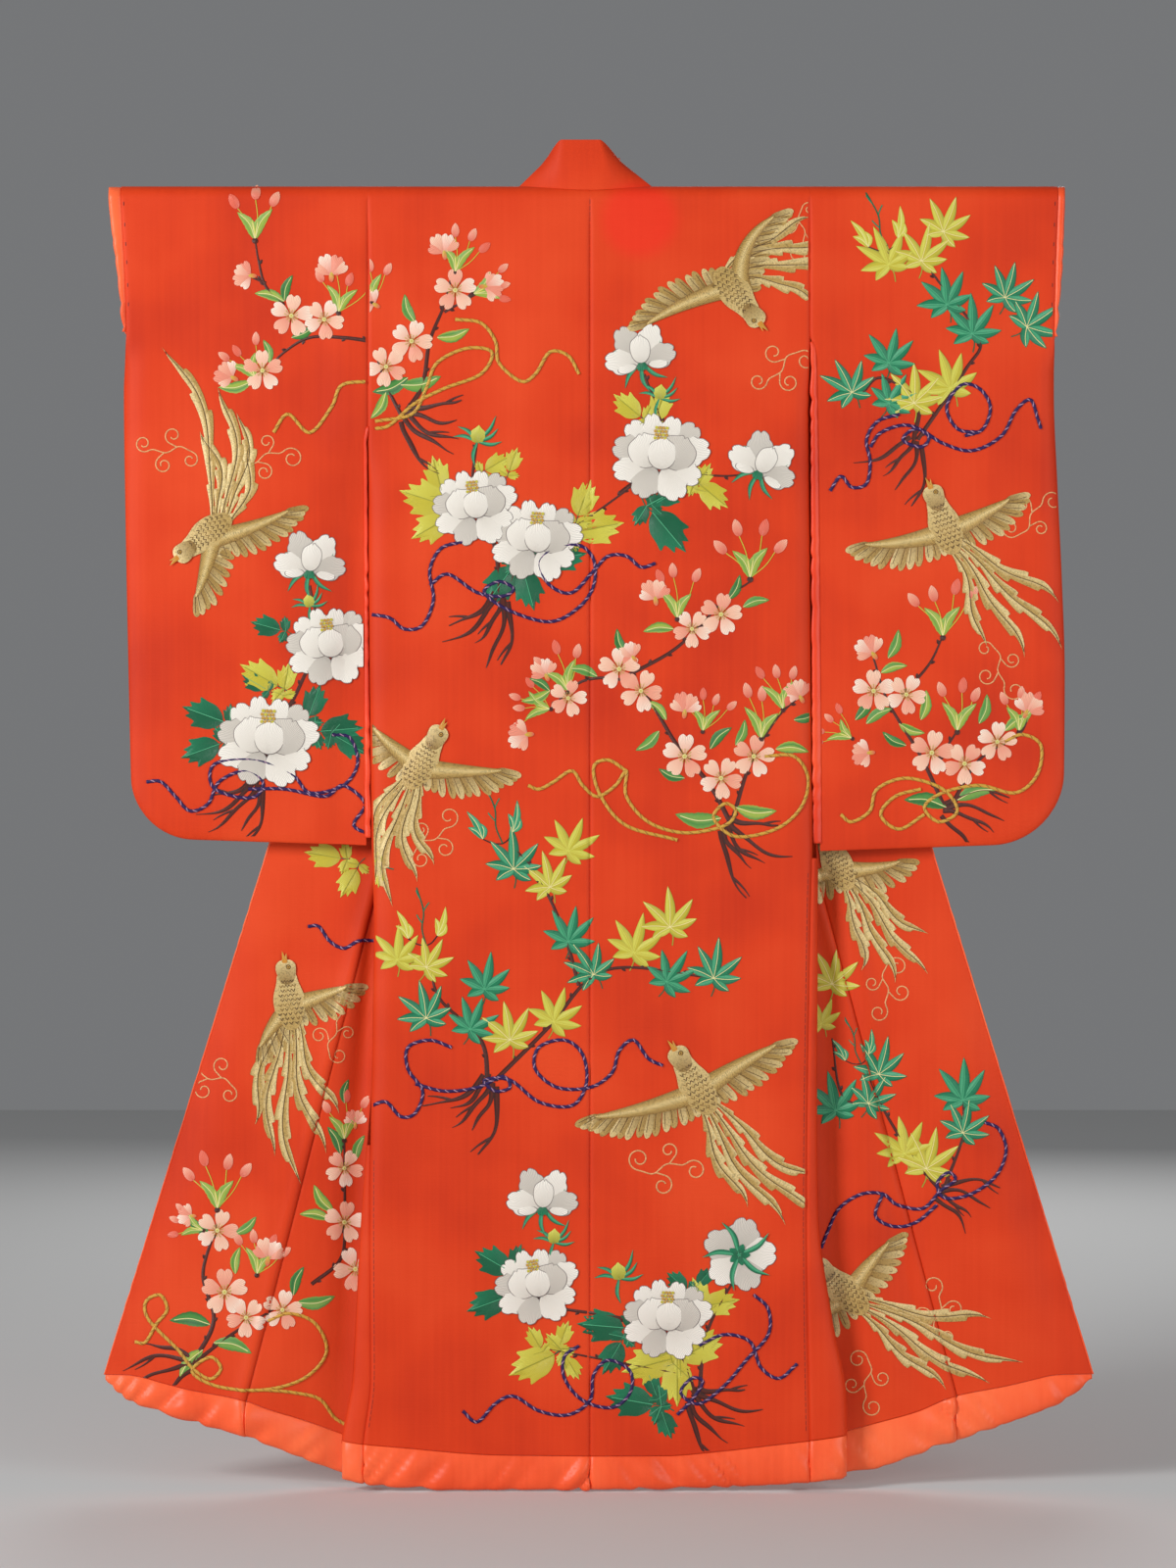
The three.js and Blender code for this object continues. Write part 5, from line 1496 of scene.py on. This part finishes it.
# Each row: the panel, and for each branch its width and its path in mm from the tie up.
BRANCHES = (
    ("sleeve_left",
        (4, ((-300, -215), (-340, -210), (-385, -210), (-420, -230), (-450, -260))),
        (3.4, ((-420, -165), (-445, -140), (-455, -105), (-460, -75))),
        (3, ((-445, -135), (-470, -125)))),
    ("back",
        (5, ((-255, -315), (-230, -275), (-220, -215), (-200, -165), (-190, -125))),
        (4, ((-260, -315), (-280, -275), (-295, -230))),
        (3, ((-200, -175), (-155, -150)))),
    ("sleeve_left",
        (5, ((-460, -825), (-435, -755), (-400, -690), (-375, -620), (-385, -550))),
        (4, ((-465, -825), (-480, -785), (-510, -750)))),
    ("back",
        (5, ((-125, -565), (-130, -500), (-160, -420), (-155, -350))),
        (4, ((-115, -560), (-85, -500), (-15, -465), (50, -420))),
        (4.6, ((40, -425), (80, -390), (100, -340), (75, -260))),
        (3, ((120, -395), (185, -400), (225, -395))),
        (5, ((195, -880), (165, -825), (120, -770), (65, -690), (-5, -680), (-55, -720))),
        (4.4, ((195, -875), (220, -795), (255, -735), (285, -705))),
        (4, ((50, -675), (120, -635), (185, -570), (220, -545)))),
    ("sleeve_right",
        (4.4, ((490, -860), (455, -785), (410, -710), (390, -650))),
        (4, ((495, -855), (535, -790), (590, -755), (605, -720))),
        (3.6, ((475, -795), (505, -750))),
        (3.6, ((425, -705), (465, -660), (485, -620))),
        (5, ((445, -350), (450, -295), (400, -265), (375, -285))),
        (4.2, ((450, -350), (515, -255), (535, -210), (480, -135), (450, -95))),
        (3.2, ((410, -95), (390, -60)))),
    ("back",
        (5, ((-140, -1235), (-150, -1175), (-205, -1120), (-220, -1075))),
        (4.6, ((-130, -1230), (-55, -1155), (-5, -1095), (50, -1075), (170, -1090))),
        (4.2, ((-15, -1100), (-40, -1015), (-75, -945), (-110, -905))),
        (5, ((145, -1665), (120, -1605), (50, -1560), (-55, -1540), (-75, -1510))),
        (4.4, ((150, -1665), (160, -1580), (200, -1500))),
        (3.4, ((130, -1635), (50, -1620), (-55, -1600)))),
    ("turned_left",
        (5, ((-550, -1625), (-520, -1565), (-535, -1500), (-515, -1430), (-515, -1410))),
        (4.2, ((-550, -1625), (-490, -1580), (-430, -1545))),
        (4, ((-385, -1515), (-345, -1480), (-340, -1420), (-340, -1315)))),
    ("turned_right",
        (4.2, ((485, -1385), (455, -1350), (410, -1280), (380, -1215))),
        (3.6, ((490, -1380), (515, -1310), (515, -1260))),
        (3.4, ((400, -1270), (350, -1255), (335, -1175)))),
)
# Each row: the panel, and for each cord its colour and its path in mm.
CORDS = (
    ("sleeve_left",
        ("yellow", ((-435, -340), (-415, -315), (-385, -340), (-355, -305), (-340, -275), (-295, -270)))),
    ("back",
        ("yellow", ((-185, -185), (-150, -190), (-130, -215), (-125, -245), (-95, -270), (-75, -260),
            (-55, -230), (-30, -235), (-15, -260))),
        ("yellow", ((-295, -325), (-245, -315), (-225, -280), (-210, -245), (-170, -225), (-135, -230),
            (-150, -260), (-200, -280), (-240, -300), (-275, -330), (-295, -335)))),
    ("sleeve_left",
        ("purple", ((-610, -820), (-590, -820), (-570, -840), (-550, -860), (-525, -850), (-510, -820),
            (-475, -805), (-450, -820), (-460, -840), (-490, -840), (-520, -825), (-515, -795),
            (-460, -790), (-410, -810), (-385, -835), (-340, -825), (-320, -795), (-330, -760),
            (-355, -755))),
        ("purple", ((-470, -830), (-420, -830), (-365, -840), (-340, -825), (-310, -850), (-325, -880),
            (-295, -895)))),
    ("back",
        ("purple", ((-300, -590), (-275, -595), (-255, -610), (-230, -605), (-215, -570), (-220, -530),
            (-205, -500), (-175, -490))),
        ("purple", ((-220, -550), (-195, -535), (-155, -560), (-120, -565), (-105, -555), (-125, -545),
            (-145, -560), (-110, -585), (-55, -600), (-15, -580), (5, -550), (5, -515), (-15, -495),
            (-50, -500), (-70, -520), (-55, -550), (-25, -560), (5, -530), (25, -510), (50, -510),
            (70, -525), (90, -520))),
        ("yellow", ((-85, -825), (-70, -830), (-50, -820), (-25, -805), (-10, -825), (10, -840), (35, -825),
            (50, -805), (50, -840), (80, -875), (130, -890), (185, -880), (200, -860), (185, -850),
            (170, -870), (200, -895), (255, -885), (290, -855), (300, -815), (280, -785), (240, -785))),
        ("yellow", ((50, -805), (25, -790), (5, -800), (15, -840), (50, -880), (120, -900)))),
    ("sleeve_right",
        ("yellow", ((345, -865), (360, -875), (385, -860), (395, -830), (435, -815), (485, -830),
            (505, -860), (480, -875), (460, -855), (485, -835), (535, -825), (585, -835), (615, -810),
            (620, -770), (595, -755), (570, -765))),
        ("yellow", ((460, -865), (425, -885), (400, -865), (420, -840), (455, -830))),
        ("purple", ((330, -420), (345, -400), (360, -415), (380, -410), (385, -380), (380, -350),
            (395, -325), (425, -315))),
        ("purple", ((385, -360), (400, -340), (435, -330), (465, -345), (455, -360), (430, -350),
            (450, -335), (485, -355), (525, -365), (565, -345), (585, -310), (605, -295), (615, -320),
            (620, -335))),
        ("purple", ((535, -340), (505, -335), (490, -305), (510, -275), (535, -280), (550, -305),
            (540, -335), (515, -345)))),
    ("back",
        ("purple", ((-300, -1265), (-280, -1260), (-260, -1280), (-240, -1275), (-230, -1245),
            (-250, -1215), (-250, -1185), (-220, -1175), (-190, -1185))),
        ("purple", ((-240, -1235), (-200, -1245), (-155, -1240), (-120, -1225), (-110, -1240),
            (-130, -1245), (-145, -1230), (-110, -1230), (-70, -1260), (-25, -1265), (-5, -1235),
            (-10, -1195), (-35, -1175), (-70, -1185), (-75, -1215), (-45, -1240), (0, -1240), (30, -1220),
            (40, -1190), (60, -1175), (80, -1200), (100, -1210))),
        ("purple", ((-175, -1685), (-155, -1700), (-130, -1675), (-105, -1665), (-70, -1685), (-30, -1690),
            (0, -1670), (5, -1635), (25, -1615), (55, -1630), (55, -1660), (30, -1680), (-10, -1670),
            (-35, -1640), (-35, -1610), (-15, -1595))),
        ("purple", ((120, -1690), (140, -1670), (155, -1645), (140, -1640), (125, -1660), (150, -1675),
            (185, -1650), (215, -1615), (245, -1580), (245, -1545), (225, -1525))),
        ("purple", ((150, -1595), (185, -1580), (220, -1590), (235, -1625), (260, -1640), (285, -1620)))),
    ("turned_left",
        ("yellow", ((-630, -1595), (-615, -1595), (-600, -1570), (-585, -1550), (-595, -1530),
            (-615, -1540), (-610, -1565), (-570, -1605), (-550, -1630), (-525, -1645), (-510, -1630),
            (-525, -1615), (-550, -1635), (-515, -1655), (-450, -1660), (-395, -1645), (-365, -1610),
            (-380, -1570), (-415, -1555), (-445, -1565))),
        ("yellow", ((-450, -1660), (-410, -1665), (-375, -1675), (-355, -1700), (-340, -1710))),
        ("purple", ((-390, -1020), (-375, -1020), (-360, -1040), (-340, -1050), (-320, -1040),
            (-295, -1040)))),
    ("turned_right",
        ("purple", ((320, -1465), (330, -1440), (345, -1410), (375, -1390), (405, -1390), (425, -1405),
            (460, -1410), (485, -1385), (505, -1370), (495, -1360), (480, -1375), (490, -1395),
            (525, -1390), (560, -1365), (575, -1330), (565, -1300), (545, -1290))),
        ("purple", ((405, -1390), (395, -1420), (420, -1435), (450, -1430), (480, -1405)))),
)


BRANCH_FULLNESS = 1.35


def running_stitches(panel, points, pitch=27.0, length=5.0, width=1.3):
    """Short dark stitches along a line of x, z points."""
    path = np.asarray(points, float)
    run = length_along(path)
    for k in range(int(run[-1] / pitch)):
        at = (k + 0.5 + 0.2 * (vary(k) - 0.5)) * pitch
        spot, ahead = ([np.interp(at + step, run, path[:, axis]) for axis in (0, 1)] for step in (0, 1))
        way = math.degrees(math.atan2(ahead[0] - spot[0], ahead[1] - spot[1]))
        stitch = turned_by([(0, -length / 2), (0, 0), (0, length / 2)], way, spot)
        Pen(panel, 0, 0).ribbon(stitch, width, "seam_thread", rise=0.2, lift=0.2)


def sewing(panels):
    """Stitches that hold the wrist lining and the side seams; along the side seams, the armholes and the
    centre back they are also painted shade for the dark line of each seam.
    """
    for side in SIDES:
        heights = np.linspace(-14, side.wrist + 4, 12)
        wrist = np.stack([side.sign * (side.sleeve_outer(heights) - 3.6), heights], 1)
        running_stitches(panels[f"sleeve_{side.label}"], wrist)
        # The close, dark seam stitches below are sewing thread, and also painted shade that darkens the line
        # of each seam.
        heights = np.linspace(side.strip_top - 20, -1715, 20)
        seam = np.stack([side.sign * (side.side_seam(heights) - 4.6), heights], 1)
        running_stitches(panels["back"], seam, pitch=8.0, length=6.0, width=0.7)
        heights = np.linspace(-16, side.armhole + 8, 8)
        armhole = np.stack([side.sign * (side.sleeve_inner(heights) + 1.2), heights], 1)
        running_stitches(panels[f"sleeve_{side.label}"], armhole, pitch=8.0, length=6.4, width=0.7)
    running_stitches(panels["back"], [(0, -20), (0, -1735)], pitch=8.0, length=6.6, width=0.8)


def embroidery_panels():
    edge_room = 2.5

    def back_face(x, z):
        return -HALF_CLOTH - np.where(x < 0, back_depth(LEFT, -x, z), back_depth(RIGHT, x, z))

    panels = {"back": Panel("back", back_face, lambda z: -LEFT.side_seam(z) + edge_room,
                            lambda z: RIGHT.side_seam(z) - edge_room,
                            lambda x: np.where(x < 0, LEFT.hem(-x), RIGHT.hem(x)) + edge_room)}
    for side in SIDES:
        def sleeve_face(x, z, s=side):
            return -HALF_CLOTH - sleeve_depth(s, np.abs(x), z)

        def turned_face(x, z, s=side):
            return turned_depth(s, np.abs(x), z) - HALF_CLOTH

        sleeve_lines = (lambda z, s=side: s.sleeve_inner(z) + edge_room + 1,
                        lambda z, s=side: s.sleeve_outer(z) - edge_room)
        turned_lines = (lambda z, s=side: s.side_seam(z) - 20, lambda z, s=side: s.edge(z) - edge_room)
        for name, face, lines, bottom in (
                ("sleeve", sleeve_face, sleeve_lines,
                 lambda x, s=side: min(s.bottom_inner, s.bottom_outer) + 12 + 0 * x),
                ("turned", turned_face, turned_lines, lambda x, s=side: s.turned_hem(np.abs(x)) + edge_room)):
            low, high = lines
            if side.sign < 0:
                low, high = (lambda z, f=lines[1]: -f(z)), (lambda z, f=lines[0]: -f(z))
            full = f"{name}_{side.label}"
            panels[full] = Panel(full, face, low, high, bottom)
    return panels


def by_panel(table):
    """The number, the panel and the row of each motif in a table."""
    pairs = ((panel, row) for panel, *rows in table for row in rows)
    for number, (panel, row) in enumerate(pairs):
        yield number, panel, row


def build_embroidery(look):
    panels = embroidery_panels()

    def pens(table, layer=0.0):
        for number, panel, (x, z, size, turn, *kind) in by_panel(table):
            yield number, Pen(panels[panel], x, z, size, turn, layer=layer), kind[0] if kind else 0

    sewing(panels)
    for _, panel, (width, points) in by_panel(BRANCHES):
        branch(Pen(panels[panel], 0, 0), points, BRANCH_FULLNESS * width)
    for number, pen, kind in pens(CUT_ENDS):
        cut_ends(pen, kind, number)
    for number, pen, kind in pens(CHERRY_LEAVES, 0.1):
        cherry_leaf(pen, number)
    for number, pen, kind in pens(GREEN_LEAVES, 0.1):
        leaf_sprig(pen, number)
    for number, pen, kind in pens(YELLOW_LEAVES, 0.1):
        leaf_sprig(pen, number, YELLOW)
    for number, pen, kind in pens(MAPLE_TWIGS, 0.1):
        maple_twig(pen, kind)
    for number, pen, kind in pens(MAPLE_LEAVES, 0.15):
        maple_leaf(pen, number, (GREEN, YELLOW)[kind])
    for number, pen, kind in pens(CHERRY_TIPS, 0.2):
        cherry_tip(pen, number)
    for number, pen, kind in pens(CHERRY_SIDES, 0.3):
        cherry_side(pen, number)
    for number, pen, kind in pens(CHERRY_FLOWERS, 0.4):
        cherry_flower(pen, number)
    for number, pen, kind in pens(PEONY_BUDS, 0.4):
        peony_bud(pen)
    for number, pen, kind in pens(PEONIES, 0.5):
        peony(pen, kind)
    for number, pen, kind in pens(SCROLLS):
        pen.axis = np.array([[1 - 2 * kind, 0], [0, 1]]) @ pen.axis
        scroll(pen, number)
    for number, (panel, x, z, size, aim, wings, tail) in enumerate(BIRDS):
        bird(Pen(panels[panel], x, z, size, layer=0.4), aim, wings, tail, number)
    for _, panel, (kind, points) in by_panel(CORDS):
        cord(Pen(panels[panel], 0, 0, layer=0.8), points, kind)
    for panel in panels.values():
        for finish in (FLOSS, GOLD, CORD):
            if panel.counts[finish]:
                panel.build(finish)


# ---- body ----


def front_edge_piping(side, edge):
    """The thin lining edge that shows along a free front edge, below the collar's end."""
    below = edge[edge[:, 2] < COLLAR_END]
    widths = np.full(len(below), PIPING_WIDTH)
    edge_roll(f"front_edge_piping_{side.label}", below, side.sign, widths, PIPING_HALF, "lining", [],
              seed=1.9, pitch=40, pucker=0.7)


def build_body(look):
    viewer_side, far_side = (NEAR_LIMIT, -HALF_GAP), (HALF_GAP, FAR_LIMIT)
    hidden = (HALF_GAP, TURNED_DEPTH - ROOM_BEFORE_TURNED)
    for side in SIDES:
        label = side.label
        outer = lambda z, s=side: np.where(z > s.okumi_top, s.collar_seam(z), s.okumi(z))
        back, hanging, strip = back_points(side), hanging_points(side), strip_points(side)
        turned = turned_points(side, TURN_TOP - POINT_TUCK, side.turn, outer, TURNED_WIDTH, curl_fold=True)
        okumi = turned_points(side, side.okumi_top - POINT_TUCK, side.okumi, okumi_outer(side), OKUMI_WIDTH)
        for name, points, facing, node in (
                ("back", back, -1, f"back_{label}"), ("hanging", hanging, 1, f"front_{label}_hanging"),
                ("strip", strip, -1, f"front_{label}_strip"), ("turned", turned, -1, f"front_{label}_turned"),
                ("okumi", okumi, -1, f"okumi_{label}")):
            cloth_piece(f"silk_{name}_{label}", outward(points, facing), [node])
        hem_roll("back", side, back[-1], viewer_side, side.sign + 2.0)
        hem_roll("strip", side, strip[-1], viewer_side, 3.3, slant=-1.0, pucker=13.0)
        hem_roll("hanging", side, hanging[-1][::-1], hidden, 2.2, half=HIDDEN_HEM_HALF)
        hem_roll("turned", side, turned[-1], far_side, 1.4, slant=-1.0, pucker=15.0)
        front_edge_piping(side, okumi[:, -1])
        hem_roll("okumi", side, okumi[-1], far_side, 4.1 + side.sign, pucker=13.0)


def okumi_outer(side):
    end = COLLAR_END + COLLAR_END_SLANT

    def outer(z):
        share = clamp01((end - z) / COLLAR_END_SLANT)
        return mix(side.collar_seam(z), side.edge(z) + HALF_GAP, share)

    return outer


# ---- collar ----


def collar_band_points(side):
    u = spaced(COLLAR_WIDTH, 6, tight=(0.5, 1.5, 3.5))
    rows = []
    for share in spaced(BAND_LENGTH, ROW_STEP, tight=(1.0, 3)):
        end = COLLAR_END + COLLAR_END_SLANT * (1 - u) + 2 * HALF_GAP
        z = mix(BAND_TOP, end, share)
        inner = np.where(z > TURN_TOP, side.turn(z), side.collar_seam(z))
        x = mix(inner + HALF_GAP, side.collar_out(z), u)
        depth = turned_depth(side, x, z) + 1.0 * np.exp(-((x - inner) / 3) ** 2)
        rows.append(np.stack([side.sign * x, depth, z], 1))
    return np.array(rows)


def collar_tail_points(side):
    u = np.linspace(0, 1, 7)
    rows = []
    for z in np.linspace(TAIL_TOP, TAIL_BOTTOM, 16):
        x = mix(side.neckline(z) - HALF_GAP, side.turn(z) + HALF_GAP, u)
        depth = np.minimum(hanging_depth(BODY_DEPTH, z), TURNED_DEPTH - 2.8) + 0 * x
        rows.append(np.stack([side.sign * x, depth, z + 0 * x], 1))
    return np.array(rows)


def neck_angle(x):
    half = np.where(x < 0, LEFT.neck, RIGHT.neck)
    return NECK_DROP_ANGLE * np.maximum(0, 1 - (x / half) ** 2)


def collar_back_points():
    u = spaced(174, 5, tight=(0.8, 2.5))
    across = mix(-LEFT.neck + 1, RIGHT.neck - 1, u)
    angle = neck_angle(across)
    seam = np.stack([across, -CREST_RADIUS * np.sin(angle),
                     -CREST_RADIUS * (1 - np.cos(angle)) - 1.6 + HALF_CLOTH * np.sin(angle)], 1)
    seam[:, 1] -= 1.4
    seam[:, 0] += 6 * (2 * u - 1) ** 7
    spread = 2 * u - 1
    flat_share = 0.45
    lean = clamp01((np.abs(spread) - flat_share) / (1 - flat_share))
    top_half = np.where(spread < 0, LEFT.neck_top - 3, RIGHT.neck_top - 8)
    shoulder = np.where(spread < 0, LEFT.neck, RIGHT.neck)
    flat = np.minimum(1, np.abs(spread) / flat_share) * top_half
    free = np.stack([np.sign(spread) * mix(flat, mix(top_half, shoulder, 0.4), lean), mix(-9, 9, lean),
                     mix(COLLAR_HEIGHT, COLLAR_HEIGHT * 0.56, lean ** 1.25)], 1)
    rows = []
    for share in spaced(66, 5, tight=(0.8, 2.5)):
        row = mix(seam, free, share)
        row[:, 1] -= 2.2 * math.sin(math.pi * share) * (1 - lean)
        rows.append(row)
    return np.array(rows)


def build_collar(look):
    for side in SIDES:
        label = side.label
        cloth_piece(f"silk_collar_{label}", outward(collar_band_points(side), -1), [f"collar_{label}"])
        tail = outward(collar_tail_points(side), 1)
        cloth_piece(f"silk_collar_tail_{label}", tail, [f"collar_{label}_tail"])
    cloth_piece("silk_collar_back", outward(collar_back_points(), -1), ["collar_back"])


# ---- sleeves ----


def build_sleeves(look):
    for side in SIDES:
        label = side.label
        points = sleeve_points(side)
        halves = [f"sleeve_{label}_back", f"sleeve_{label}_front"]
        cloth_piece(f"silk_sleeve_{label}", outward(points, -1), halves)
        path = points[:, -1]
        half = len(path) // 2
        open_part = path[np.abs(path[:, 2]) <= -side.wrist + 6]
        widths = side.wrist_roll(open_part[:, 2])
        edge_roll(f"wrist_roll_{label}", open_part, side.sign, widths, WRIST_HALF, "lining",
                  [f"wrist_edge_{label}_back", f"wrist_edge_{label}_front"], seed=0.8, pitch=27, pucker=2.4)
        inner = points[:, 0]
        for facing, name, row in ((-1, "back", inner[:half]), (1, "front", inner[half + 1:])):
            low = side.bottom_inner + 8
            part = row[(row[:, 2] < side.armhole - 4) & (row[:, 2] > low)]
            part = part[np.argsort(-part[:, 2])]
            # The front roll is the wider one, and lies over the edge of the hanging front.
            limit, cover = ((-40, -HALF_GAP), 1.2) if facing < 0 else ((CLOTH + 2 * HALF_GAP, 40), 4.2)
            gap = side.sleeve_inner(part[:, 2]) - side.side_seam(part[:, 2])
            part = part + (side.sign * 2.5, facing * 1.5, 0)
            widths = np.clip(gap + cover, 5, 14)
            edge_roll(f"slit_roll_{label}_{name}", part, -side.sign, widths, SLIT_HALF, "edge",
                      [f"slit_edge_{label}_{name}"], seed=2.6 + side.sign, pitch=31, pucker=2.2,
                      limit=limit)


# ---- stage ----


FLOOR_LEVEL = -1796.0 * MM
CAMERA_PLACE = (-0.0027, -6.0, -0.823)
VIEW_HALF_HEIGHT = 1.08


def build_stage(look):
    fresh_selection()
    bpy.ops.mesh.primitive_plane_add(size=14.0, location=(0, 0, FLOOR_LEVEL))
    floor = bpy.context.active_object
    floor.name = "floor"
    material, tree = new_material("pale matte plaster floor")
    shader = add(tree, "ShaderNodeBsdfPrincipled", {
        "Base Color": linear(look.floor_colour_hex), "Roughness": 0.9})
    finish_material(tree, shader)
    floor.data.materials.append(material)

    world = bpy.data.worlds.new("studio")
    bpy.context.scene.world = world
    world.use_nodes = True
    sky = world.node_tree.nodes["Background"]
    sky.inputs["Color"].default_value = linear("#e9ebee")
    sky.inputs["Strength"].default_value = look.fill_light

    def lamp(name, place, aim, size, power):
        data = bpy.data.lights.new(name, "AREA")
        data.shape = "RECTANGLE"
        data.size, data.size_y = size
        data.energy = power
        obj = bpy.data.objects.new(name, data)
        bpy.context.collection.objects.link(obj)
        obj.location = place
        direction = Vector(aim) - Vector(place)
        obj.rotation_euler = direction.to_track_quat("-Z", "Y").to_euler()
        return obj

    key = lamp("key_light", (-4.3, -4.0, 1.1), (0, 0, -1.0), (1.8, 2.3), look.key_light)
    fill = lamp("fill_light", (3.0, -3.2, -0.4), (0, 0, -0.9), (2.0, 2.4), look.key_light * 0.24)
    rear = lamp("rear_light", (0.6, 4.6, 1.0), (0, 0, -0.9), (2.4, 2.4), look.key_light * 0.22)

    camera_data = bpy.data.cameras.new("camera")
    camera = bpy.data.objects.new("camera", camera_data)
    bpy.context.collection.objects.link(camera)
    camera_data.sensor_fit = "VERTICAL"
    camera_data.angle = 2 * math.atan(VIEW_HALF_HEIGHT / -CAMERA_PLACE[1])
    camera.location = CAMERA_PLACE
    camera.rotation_euler = (math.pi / 2, 0, 0)
    bpy.context.scene.camera = camera
    # The plain view keeps the dyed colours as they are.
    bpy.context.scene.view_settings.view_transform = "Standard"


# ---- add-on ----


class KimonoLook(bpy.types.PropertyGroup):
    floor_colour_hex: bpy.props.StringProperty(
        name="Floor colour", description="sRGB hex of the floor", default="#cfcfce")
    key_light: bpy.props.FloatProperty(
        name="Key light", description="Power of the main lamp in watts", default=296.0, min=0.0)
    fill_light: bpy.props.FloatProperty(
        name="Fill light", description="Strength of the even light from all round", default=0.22, min=0.0)


class StepOperator:
    bl_options = {"REGISTER"}

    def execute(self, context):
        type(self).step(context.scene.kimono_look)
        return {"FINISHED"}


class KIMONO_OT_materials(StepOperator, bpy.types.Operator):
    """Makes the silks, linings and threads"""

    bl_idname = "kimono.materials"
    bl_label = "Materials"
    step = staticmethod(make_cloth_materials)


class KIMONO_OT_body(StepOperator, bpy.types.Operator):
    """Builds the body panels and their wadded hems"""

    bl_idname = "kimono.body"
    bl_label = "Body and hem"
    step = staticmethod(build_body)


class KIMONO_OT_collar(StepOperator, bpy.types.Operator):
    """Builds the collar round the neck and down both fronts"""

    bl_idname = "kimono.collar"
    bl_label = "Collar"
    step = staticmethod(build_collar)


class KIMONO_OT_sleeves(StepOperator, bpy.types.Operator):
    """Builds both sleeves with their rolled wrist and slit edges"""

    bl_idname = "kimono.sleeves"
    bl_label = "Sleeves"
    step = staticmethod(build_sleeves)


class KIMONO_OT_embroidery(StepOperator, bpy.types.Operator):
    """Stitches flowers, leaves, cords and gold birds on every panel"""

    bl_idname = "kimono.embroidery"
    bl_label = "Embroidery"
    step = staticmethod(build_embroidery)


class KIMONO_OT_stage(StepOperator, bpy.types.Operator):
    """Sets up the floor, the lights and the camera"""

    bl_idname = "kimono.stage"
    bl_label = "Stage"
    step = staticmethod(build_stage)


STEPS = (KIMONO_OT_materials, KIMONO_OT_body, KIMONO_OT_collar, KIMONO_OT_sleeves, KIMONO_OT_embroidery,
         KIMONO_OT_stage)


class KIMONO_PT_panel(bpy.types.Panel):
    """Kimono looks and building steps"""

    bl_idname = "KIMONO_PT_panel"
    bl_label = "Furisode"
    bl_space_type = "VIEW_3D"
    bl_region_type = "UI"
    bl_category = "Kimono"

    def draw(self, context):
        look = context.scene.kimono_look
        for name in ("floor_colour_hex", "key_light", "fill_light"):
            self.layout.prop(look, name)
        for step in STEPS:
            self.layout.operator(step.bl_idname)


CLASSES = (KimonoLook, *STEPS, KIMONO_PT_panel)


def register():
    for cls in CLASSES:
        bpy.utils.register_class(cls)
    bpy.types.Scene.kimono_look = bpy.props.PointerProperty(type=KimonoLook)


def unregister():
    del bpy.types.Scene.kimono_look
    for cls in reversed(CLASSES):
        bpy.utils.unregister_class(cls)


def main():
    register()
    for step in STEPS:
        group, name = step.bl_idname.split(".")
        getattr(getattr(bpy.ops, group), name)()


if __name__ == "__main__":
    main()
